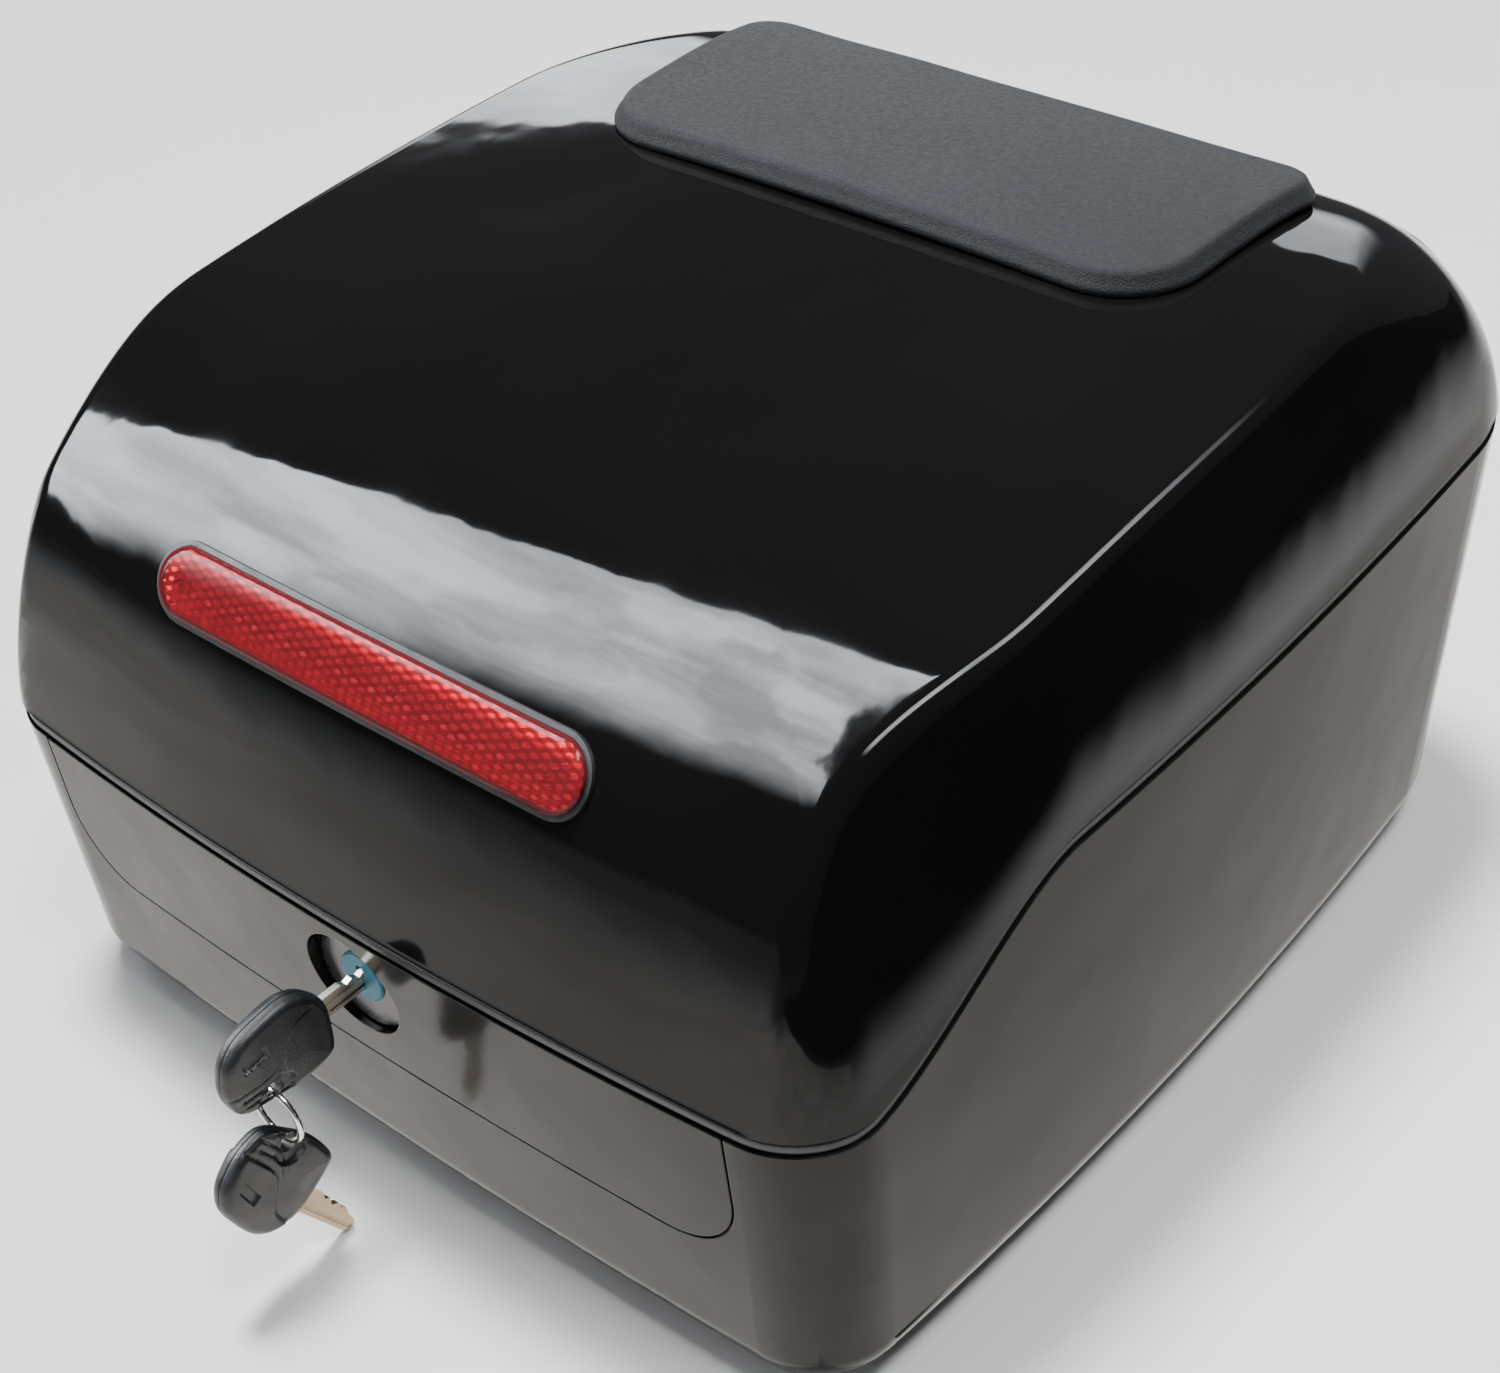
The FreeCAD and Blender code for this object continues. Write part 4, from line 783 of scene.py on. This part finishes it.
class Nodes:
    """Short names for building a material's nodes."""

    def __init__(self, name):
        self.material = bpy.data.materials.new(name)
        self.material.use_nodes = True
        self.tree = self.material.node_tree
        self.tree.nodes.clear()
        self.output = self.new("OutputMaterial")
        self.shader = self.new("BsdfPrincipled")
        self.link(self.shader.outputs[0], self.output.inputs["Surface"])
        self.place = self.new("TexCoord").outputs["Object"]

    def new(self, kind, **inputs):
        node = self.tree.nodes.new("ShaderNode" + kind)
        self.fill(node, inputs)
        return node

    def fill(self, node, inputs):
        """Set a node's inputs by name, where _ stands for a space."""
        for name, value in inputs.items():
            self.put(node.inputs[name.replace("_", " ")], value)

    def set(self, **inputs):
        self.fill(self.shader, inputs)

    def link(self, source, target):
        self.tree.links.new(source, target)

    def put(self, node_input, value):
        if isinstance(value, bpy.types.NodeSocket):
            self.link(value, node_input)
        elif isinstance(value, tuple) and len(value) == 3 and node_input.type == "RGBA":
            node_input.default_value = (*value, 1)
        else:
            node_input.default_value = value

    def scaled(self, x, y, z):
        return self.new("Mapping", Vector=self.place, Scale=(x, y, z)).outputs[0]

    def noise(self, scale, detail=3.0, roughness=0.5, vector=None, distortion=0.0):
        return self.new("TexNoise", Vector=vector or self.place, Scale=scale, Detail=detail,
                        Roughness=roughness, Distortion=distortion).outputs["Fac"]

    def cells(self, scale, feature="F1"):
        found = self.new("TexVoronoi", Vector=self.place, Scale=scale)
        found.feature = feature
        return found.outputs["Distance"]

    def ramp(self, value, low, high, out_low=0.0, out_high=1.0):
        found = self.new("MapRange", Value=value, From_Min=low, From_Max=high,
                         To_Min=out_low, To_Max=out_high)
        found.interpolation_type = "SMOOTHSTEP"
        return found.outputs[0]

    def math(self, operation, first, second):
        found = self.new("Math")
        found.operation = operation
        self.put(found.inputs[0], first)
        self.put(found.inputs[1], second)
        return found.outputs[0]

    def plus(self, first, second):
        return self.math("ADD", first, second)

    def times(self, first, second):
        return self.math("MULTIPLY", first, second)

    def mix(self, factor, first, second):
        found = self.new("Mix")
        found.data_type = "RGBA"
        for index, value in ((0, factor), (6, first), (7, second)):
            self.put(found.inputs[index], value)
        return found.outputs[2]

    def bump(self, height, distance, strength=1.0, before=None):
        found = self.new("Bump", Height=height, Distance=distance, Strength=strength)
        if before:
            self.link(before, found.inputs["Normal"])
        return found.outputs[0]

    def rounded(self, radius):
        """Normals softened over sharp corners, so that edges catch the light."""
        found = self.new("Bevel", Radius=radius)
        found.samples = 4
        return found.outputs[0]

    def edges(self, low=0.5, high=0.62):
        """1 on outer edges, from the mesh's pointiness: worn edges, and on the pad a painted
        highlight.
        """
        return self.ramp(self.new("NewGeometry").outputs["Pointiness"], low, high)

    def over_clear(self, part, shader, tint=(1, 1, 1)):
        """Show a shader over a see-through one, as much as part says."""
        clear = self.new("BsdfTransparent", Color=tint)
        joined = self.new("MixShader")
        for index, source in enumerate((part, clear.outputs[0], shader.outputs[0])):
            self.link(source, joined.inputs[index])
        self.link(joined.outputs[0], self.output.inputs["Surface"])


def lacquer(name, base, roughness, wave, haze, ior, specular, rim=0.0):
    """Gloss plastic: long mould waves, faint smudges, fine wiping marks and a little dust."""
    n = Nodes(name)
    waves = n.noise(26.0, 2.0, 0.4)
    ripple = n.noise(160.0, 2.0, 0.5)
    smudge = n.ramp(n.noise(11.0, 5.0, 0.6, distortion=0.6), 0.42, 0.75)
    wiped = n.ramp(n.noise(1.0, 4.0, 0.6, vector=n.scaled(900, 60, 900)), 0.55, 0.8)
    specks = n.ramp(n.cells(420.0), 0.045, 0.02)
    rare = n.ramp(n.noise(60.0, 2.0), 0.57, 0.66)
    dust = n.times(specks, rare)
    rough = n.plus(n.times(smudge, haze), roughness)
    rough = n.plus(rough, n.times(wiped, haze * 0.35))
    rough = n.plus(rough, n.times(dust, 0.5))
    colour = n.mix(n.times(dust, 0.35), base, (0.16, 0.155, 0.15))
    tinted = n.mix(n.ramp(n.noise(7.0), 0.3, 0.7), colour, tuple(c * 1.35 for c in base))
    n.set(Base_Color=tinted, Roughness=rough, IOR=ior, Specular_IOR_Level=specular)
    n.set(Normal=n.bump(ripple, 0.000012, wave, n.bump(
        waves, 0.0009, wave, n.rounded(rim) if rim else None)))
    return n.material


def moulded(name, base, roughness, grain_scale, grain_depth):
    """Satin moulded plastic: fine spark grain, colour drift and lighter handled edges."""
    n = Nodes(name)
    grain = n.cells(grain_scale, "SMOOTH_F1")
    fine = n.noise(grain_scale * 1.7, 3.0)
    drift = n.ramp(n.noise(45.0, 4.0), 0.3, 0.7)
    worn = n.times(n.edges(), n.ramp(n.noise(300.0, 4.0), 0.35, 0.7))
    colour = n.mix(drift, base, tuple(min(c * 1.3, 1) for c in base))
    colour = n.mix(worn, colour, tuple(min(c * 1.8 + 0.01, 1) for c in base))
    rough = n.ramp(n.noise(120.0, 4.0), 0.3, 0.75, roughness - 0.05, roughness + 0.1)
    n.set(Base_Color=colour, Roughness=rough, IOR=1.48)
    n.set(Normal=n.bump(fine, grain_depth * 0.5, 0.6, n.bump(grain, grain_depth, 0.8)))
    return n.material


def metal(name, base, roughness, brush=(40, 900, 900), wear=0.5):
    """Plated steel: drawn direction, cloudy plating, a few dull spots and bright edges."""
    n = Nodes(name)
    drawn = n.noise(1.0, 4.0, 0.6, vector=n.scaled(*brush))
    cloud = n.ramp(n.noise(90.0, 5.0, 0.6), 0.35, 0.7)
    dull = n.ramp(n.noise(380.0, 5.0, 0.65), 0.62, 0.74)
    colour = n.mix(cloud, base, tuple(c * 0.82 for c in base))
    colour = n.mix(n.times(dull, wear), colour, (0.25, 0.2, 0.15))
    colour = n.mix(n.edges(), colour, tuple(min(c * 1.25, 1) for c in base))
    rough = n.plus(n.ramp(drawn, 0.2, 0.8, roughness - 0.06, roughness + 0.14),
                   n.times(dull, 0.2))
    n.set(Base_Color=colour, Roughness=rough, Metallic=1.0)
    n.set(Normal=n.bump(drawn, 0.00003, 0.7))
    return n.material


def vinyl(name):
    """Grained artificial leather: pebbles of a millimetre or so, fine pores, faint mottling and a
    painted highlight on its edges.
    """
    n = Nodes(name)
    warp = n.noise(240.0, 2.0)
    creases = n.cells(900.0, "DISTANCE_TO_EDGE")
    large = n.noise(560.0, 5.0, 0.62)
    pores = n.noise(2600.0, 3.0, 0.6)
    mottle = n.ramp(n.noise(38.0, 5.0, 0.6), 0.3, 0.72)
    valley = n.ramp(creases, 0.0, 0.16)
    colour = n.mix(mottle, (0.012, 0.013, 0.0155), (0.019, 0.0205, 0.024))
    colour = n.mix(n.times(valley, 0.5), (0.008, 0.0085, 0.010), colour)
    # Painted highlight: the pad's outer edges are lightened as if they caught the sky light.
    colour = n.mix(n.times(n.edges(0.5, 0.6), 0.4), colour, (0.045, 0.047, 0.053))
    rough = n.ramp(large, 0.25, 0.75, 0.52, 0.72)
    n.set(Base_Color=colour, Roughness=rough, IOR=1.45, Specular_IOR_Level=0.22,
          Sheen_Weight=0.05, Sheen_Roughness=0.45)
    height = n.plus(n.times(valley, 0.5), n.times(large, 0.9))
    height = n.plus(height, n.times(warp, 0.4))
    n.set(Normal=n.bump(pores, 0.00005, 0.5, n.bump(height, 0.00028, 0.75)))
    return n.material


def rubber(name, base):
    """Smooth extruded rubber: a satin skin with fine pores and pale bloom."""
    n = Nodes(name)
    pores = n.cells(2200.0)
    bloom = n.ramp(n.noise(70.0, 5.0, 0.6), 0.4, 0.75)
    colour = n.mix(bloom, base, tuple(c * 1.6 for c in base))
    rough = n.ramp(n.noise(500.0, 3.0), 0.3, 0.7, 0.34, 0.44)
    n.set(Base_Color=colour, Roughness=rough, IOR=1.5, Specular_IOR_Level=0.4)
    n.set(Normal=n.bump(pores, 0.00002, 0.2))
    return n.material


def red_lens(name):
    """The reflector's clear red cover: tinted see-through with a sharp surface sheen."""
    n = Nodes(name)
    marks = n.ramp(n.noise(1.0, 4.0, 0.6, vector=n.scaled(500, 60, 500)), 0.55, 0.85)
    rough = n.plus(n.times(marks, 0.06), 0.03)
    tint = n.mix(n.ramp(n.noise(35.0), 0.3, 0.7), (0.92, 0.18, 0.30), (0.96, 0.26, 0.38))
    n.set(Base_Color=(0.50, 0.07, 0.085), Roughness=rough, IOR=1.6,
          Normal=n.bump(n.noise(60.0), 0.0002, 0.25))
    sheen = n.new("LayerWeight", Blend=0.28).outputs["Fresnel"]
    n.over_clear(n.ramp(sheen, 0.0, 1.0, 0.2, 1.0), n.shader, tint)
    return n.material


def red_prisms(name):
    """The ribbed red face under the cover; its ribs are in the mesh."""
    n = Nodes(name)
    patch = n.ramp(n.noise(120.0, 3.0), 0.35, 0.7)
    fleck = n.ramp(n.cells(520.0), 0.1, 0.5)
    colour = n.mix(patch, (0.24, 0.006, 0.018), (0.46, 0.020, 0.045))
    colour = n.mix(n.times(fleck, 0.25), (0.62, 0.06, 0.09), colour)
    n.set(Base_Color=colour, Roughness=n.ramp(patch, 0, 1, 0.2, 0.34), Metallic=0.25, IOR=1.5)
    n.set(Normal=n.bump(n.noise(900.0), 0.00005, 0.4))
    return n.material


def enamel(name, base, light):
    """The lock's coloured face: satin anodising with key scratches."""
    n = Nodes(name)
    scratch = n.ramp(n.noise(1.0, 3.0, 0.6, vector=n.scaled(2500, 300, 300)), 0.62, 0.75)
    cloud = n.ramp(n.noise(260.0, 4.0), 0.3, 0.7)
    colour = n.mix(cloud, base, light)
    colour = n.mix(n.times(scratch, 0.4), colour, (0.55, 0.62, 0.64))
    n.set(Base_Color=colour, Roughness=n.ramp(cloud, 0, 1, 0.3, 0.42), IOR=1.4,
          Specular_IOR_Level=0.2)
    n.set(Normal=n.bump(scratch, 0.00004, 0.5))
    return n.material


def floor_material():
    n = Nodes("studio_floor")
    soft = n.ramp(n.noise(3.0, 3.0), 0.3, 0.7)
    n.set(Base_Color=n.mix(soft, (0.80, 0.80, 0.80), (0.83, 0.83, 0.83)),
          Roughness=n.ramp(n.noise(40.0), 0.3, 0.7, 0.7, 0.85))
    n.set(Normal=n.bump(n.noise(500.0), 0.0001, 0.2))
    return n.material


M = {
    "lid": lacquer("gloss_black", (0.0035, 0.0035, 0.0037), 0.035, 0.5, 0.05, 1.46, 0.25),
    "body": lacquer("body_black", (0.010, 0.0095, 0.009), 0.12, 0.6, 0.08, 1.36, 0.2, 0.0005),
    "inside": moulded("inside_black", (0.016, 0.016, 0.017), 0.5, 1400.0, 0.00008),
    "lock": moulded("lock_plastic", (0.014, 0.014, 0.015), 0.16, 2200.0, 0.00004),
    "button": moulded("button_grey", (0.022, 0.022, 0.022), 0.22, 2600.0, 0.00003),
    "tray": moulded("tray_black", (0.008, 0.008, 0.009), 0.42, 1800.0, 0.00004),
    "key": moulded("key_black", (0.006, 0.0066, 0.008), 0.42, 1500.0, 0.00007),
    "plate": moulded("plate_black", (0.02, 0.02, 0.02), 0.5, 900.0, 0.00008),
    "seal": rubber("seal_rubber", (0.020, 0.019, 0.019)),
    "pad": vinyl("pad_vinyl"),
    "steel": metal("zinc_steel", (0.42, 0.42, 0.41), 0.34),
    "spring": metal("spring_steel", (0.42, 0.42, 0.43), 0.3, brush=(900, 900, 900)),
    "ring": metal("ring_steel", (0.72, 0.71, 0.69), 0.18, brush=(700, 700, 700), wear=0.3),
    "blade": metal("key_nickel", (0.38, 0.36, 0.31), 0.3, brush=(900, 60, 900), wear=0.35),
    "brass": metal("key_brass", (0.31, 0.235, 0.16), 0.32, brush=(900, 90, 900), wear=0.4),
    "teal": enamel("lock_teal", (0.018, 0.15, 0.23), (0.03, 0.21, 0.30)),
    "lens": red_lens("lens_red"),
    "prisms": red_prisms("prisms_red"),
}

CAD_LOOKS = {
    "body_shell": "body", "lock_panel": "body", "rim_seal": "seal", "lid_shell": "lid",
    "lock_housing": "lock", "button_spring": "spring", "latch_spring": "spring",
    "reflector_base": "tray", "reflector_lens": "lens", "backrest_pad": "pad",
    "pad_backing_plate": "plate", "push_button": "button", "lock_cylinder": "teal",
    "key_head": "key", "key_blade": "blade", "key_ring": "ring",
    "spare_key_head": "key", "spare_key_blade": "brass",
}
SOFT_EDGES = {
    "latch_bracket": 0.3, "latch_hook": 0.4, "lid_striker": 0.3, "lock_housing": 0.25,
    "push_button": 0.2, "lock_cylinder": 0.15, "key_blade": 0.12, "spare_key_blade": 0.12,
    "pad_backing_plate": 0.4,
}
SOFT_EDGES.update({f"hinge_{part}_leaf_{side}": 0.3
                   for part in ("body", "lid") for side in ("left", "right")})


def dress_cad_nodes():
    for name, thing in NODES.items():
        thing.data.materials.clear()
        thing.data.materials.append(M[CAD_LOOKS.get(name, "steel")])
        if name in SOFT_EDGES:
            bevel = thing.modifiers.new("soft_edges", "BEVEL")
            bevel.width = SOFT_EDGES[name] / 1000
            bevel.segments = 2
            bevel.limit_method = "ANGLE"
            bevel.angle_limit = math.radians(35)
            bevel.harden_normals = True


# ---- camera, floor and light

def add_light(name, kind, place, aim, **settings):
    """A light aimed at a point; reflections don't show it."""
    light = bpy.data.lights.new(name, kind)
    for setting, value in settings.items():
        setattr(light, setting, value)
    thing = add_object(name, light)
    thing.location = place
    thing.rotation_euler = (Vector(aim) - Vector(place)).to_track_quat("-Z", "Y").to_euler()
    thing.visible_glossy = False


def build_camera():
    azimuth, elevation, roll = (math.radians(a) for a in (41.927, 38.262, -3.935))
    back = Vector((math.sin(azimuth) * math.cos(elevation),
                   -math.cos(azimuth) * math.cos(elevation), math.sin(elevation)))
    right = (-back).cross(Vector((0, 0, 1))).normalized()
    up = right.cross(-back)
    turned_right = right * math.cos(roll) + up * math.sin(roll)
    turned_up = up * math.cos(roll) - right * math.sin(roll)
    camera = bpy.data.cameras.new("camera")
    thing = add_object("camera", camera)
    turn = Matrix((turned_right, turned_up, back)).transposed().to_4x4()
    place = Vector((421.385, -476.132, 558.688 + RUNNERS)) / 1000
    thing.matrix_world = Matrix.Translation(place) @ turn
    camera.sensor_width = 36.0
    camera.lens = 60.68328
    camera.shift_x = -0.0165267
    camera.shift_y = 0.0081067
    bpy.context.scene.camera = thing


SHEET_ACROSS, SHEET_ALONG = 9, 17
COOL, WARM = (0.92, 0.96, 1.0), (1.0, 0.965, 0.91)
FLOOR_REACH = 6.0


def reflected_sheet(name, lower, upper, strength, colour, fade, ends=(0.0, 0.0)):
    """A glowing sheet between two lines, seen only in reflections and soft at its edges."""
    along, across = (grid.ravel() for grid in np.meshgrid(
        np.linspace(0, 1, SHEET_ALONG), np.linspace(0, 1, SHEET_ACROSS), indexing="ij"))
    first, last = (np.outer(1 - along, line[0]) + np.outer(along, line[1])
                   for line in (lower, upper))
    points = first * (1 - across[:, None]) + last * across[:, None]
    mesh = bpy.data.meshes.new(name)
    mesh.from_pydata(points.tolist(), [], band_faces(SHEET_ALONG, SHEET_ACROSS, closed=False))
    n = Nodes(name)
    ways = []
    for label, values in (("across", across), ("along", along)):
        mesh.attributes.new(label, "FLOAT", "POINT").data.foreach_set("value", values.tolist())
        found = n.new("Attribute")
        found.attribute_name = label
        ways.append(found.outputs["Fac"])
    shown = n.ramp(ways[0], 0.0, fade)
    for edge, inner, width in ((0.0, ends[0], ends[0]), (1.0, 1.0 - ends[1], ends[1])):
        if width:
            shown = n.times(shown, n.ramp(ways[1], edge, inner))
    soft = n.ramp(n.noise(1.1, 5.0, 0.55, distortion=0.4), 0.32, 0.7, 0.45, 1.0)
    glow = n.new("Emission", Color=colour, Strength=n.times(soft, strength))
    n.over_clear(shown, glow)
    mesh.materials.append(n.material)
    sheet = add_object(name, mesh)
    sheet.visible_camera = False
    sheet.visible_diffuse = False
    sheet.visible_shadow = False


def build_reflections():
    """A strip of sky, thin strips for the rim and the back, two warm cards and a dark one."""
    reflected_sheet("sky_band", ((-2.0, -1.60, 0.30), (-2.0, -3.70, 4.60)),
                    ((-2.0, -0.52, 1.52), (-2.0, 1.45, 4.90)), 42.0, (0.88, 0.94, 1.0), 0.35)
    reflected_sheet("rim_strip", ((0.35, -1.00, 2.75), (0.35, 1.80, 1.90)),
                    ((1.00, -1.00, 2.50), (1.00, 1.80, 1.60)), 30.0, COOL, 0.3,
                    ends=(0.1, 0.3))
    reflected_sheet("back_strip", ((-2.4, 1.30, 0.55), (-0.2, 2.70, 0.55)),
                    ((-2.4, 1.30, 1.35), (-0.2, 2.70, 1.35)), 14.0, COOL, 0.3,
                    ends=(0.2, 0.65))
    reflected_sheet("front_card", ((-1.0, -1.00, 0.002), (0.5, -1.00, 0.002)),
                    ((-1.0, -0.18, 0.002), (0.5, -0.18, 0.002)), 2.5, WARM, 0.5)
    reflected_sheet("side_card", ((0.38, -0.45, 0.002), (0.38, 0.60, 0.002)),
                    ((0.155, -0.45, 0.002), (0.155, 0.60, 0.002)), 2.2, WARM, 0.35)
    reflected_sheet("dark_card", ((0.40, -1.20, 0.002), (0.40, 3.50, 0.002)),
                    ((3.50, -1.20, 0.002), (3.50, 3.50, 0.002)), 0.03, (0.9, 0.95, 1.0), 0.05)


def build_stage():
    mesh = bpy.data.meshes.new("studio_floor")
    corners = [(x * FLOOR_REACH, y * FLOOR_REACH, 0)
               for x, y in ((-1, -1), (1, -1), (1, 1), (-1, 1))]
    mesh.from_pydata(corners, [], [(0, 1, 2, 3)])
    floor = add_object("studio_floor", mesh)
    mesh.materials.append(floor_material())
    floor.location.z = -0.0002
    build_reflections()
    add_light("front_fill", "AREA", (-0.3, -2.2, 1.3), (0, 0, 0.1), shape="RECTANGLE",
              size=1.6, size_y=1.2, energy=9.651)
    for name, place, aim, angle, power in (
            ("floor_pool", (-0.45, 0.2, 3.0), (-0.45, 0.2, 0), 43, 700.0),
            ("side_pool", (0.9, -0.2, 2.6), (0.30, 0.10, 0), 24, 220.0)):
        add_light(name, "SPOT", place, aim, energy=power, spot_size=math.radians(angle),
                  spot_blend=0.25, shadow_soft_size=0.35)
    world = bpy.data.worlds.new("studio")
    bpy.context.scene.world = world
    world.use_nodes = True
    colour, strength = world.node_tree.nodes["Background"].inputs[:2]
    colour.default_value = (0.55, 0.57, 0.6, 1)
    strength.default_value = 0.22


# ---- build

dress_cad_nodes()
build_lid(M["lid"], M["inside"])
build_seal(M["seal"])
build_reflector(M["lens"], M["prisms"])
build_pad(M["pad"])
build_key_heads(M["key"])
build_button_spring(M["spring"])
build_camera()
build_stage()
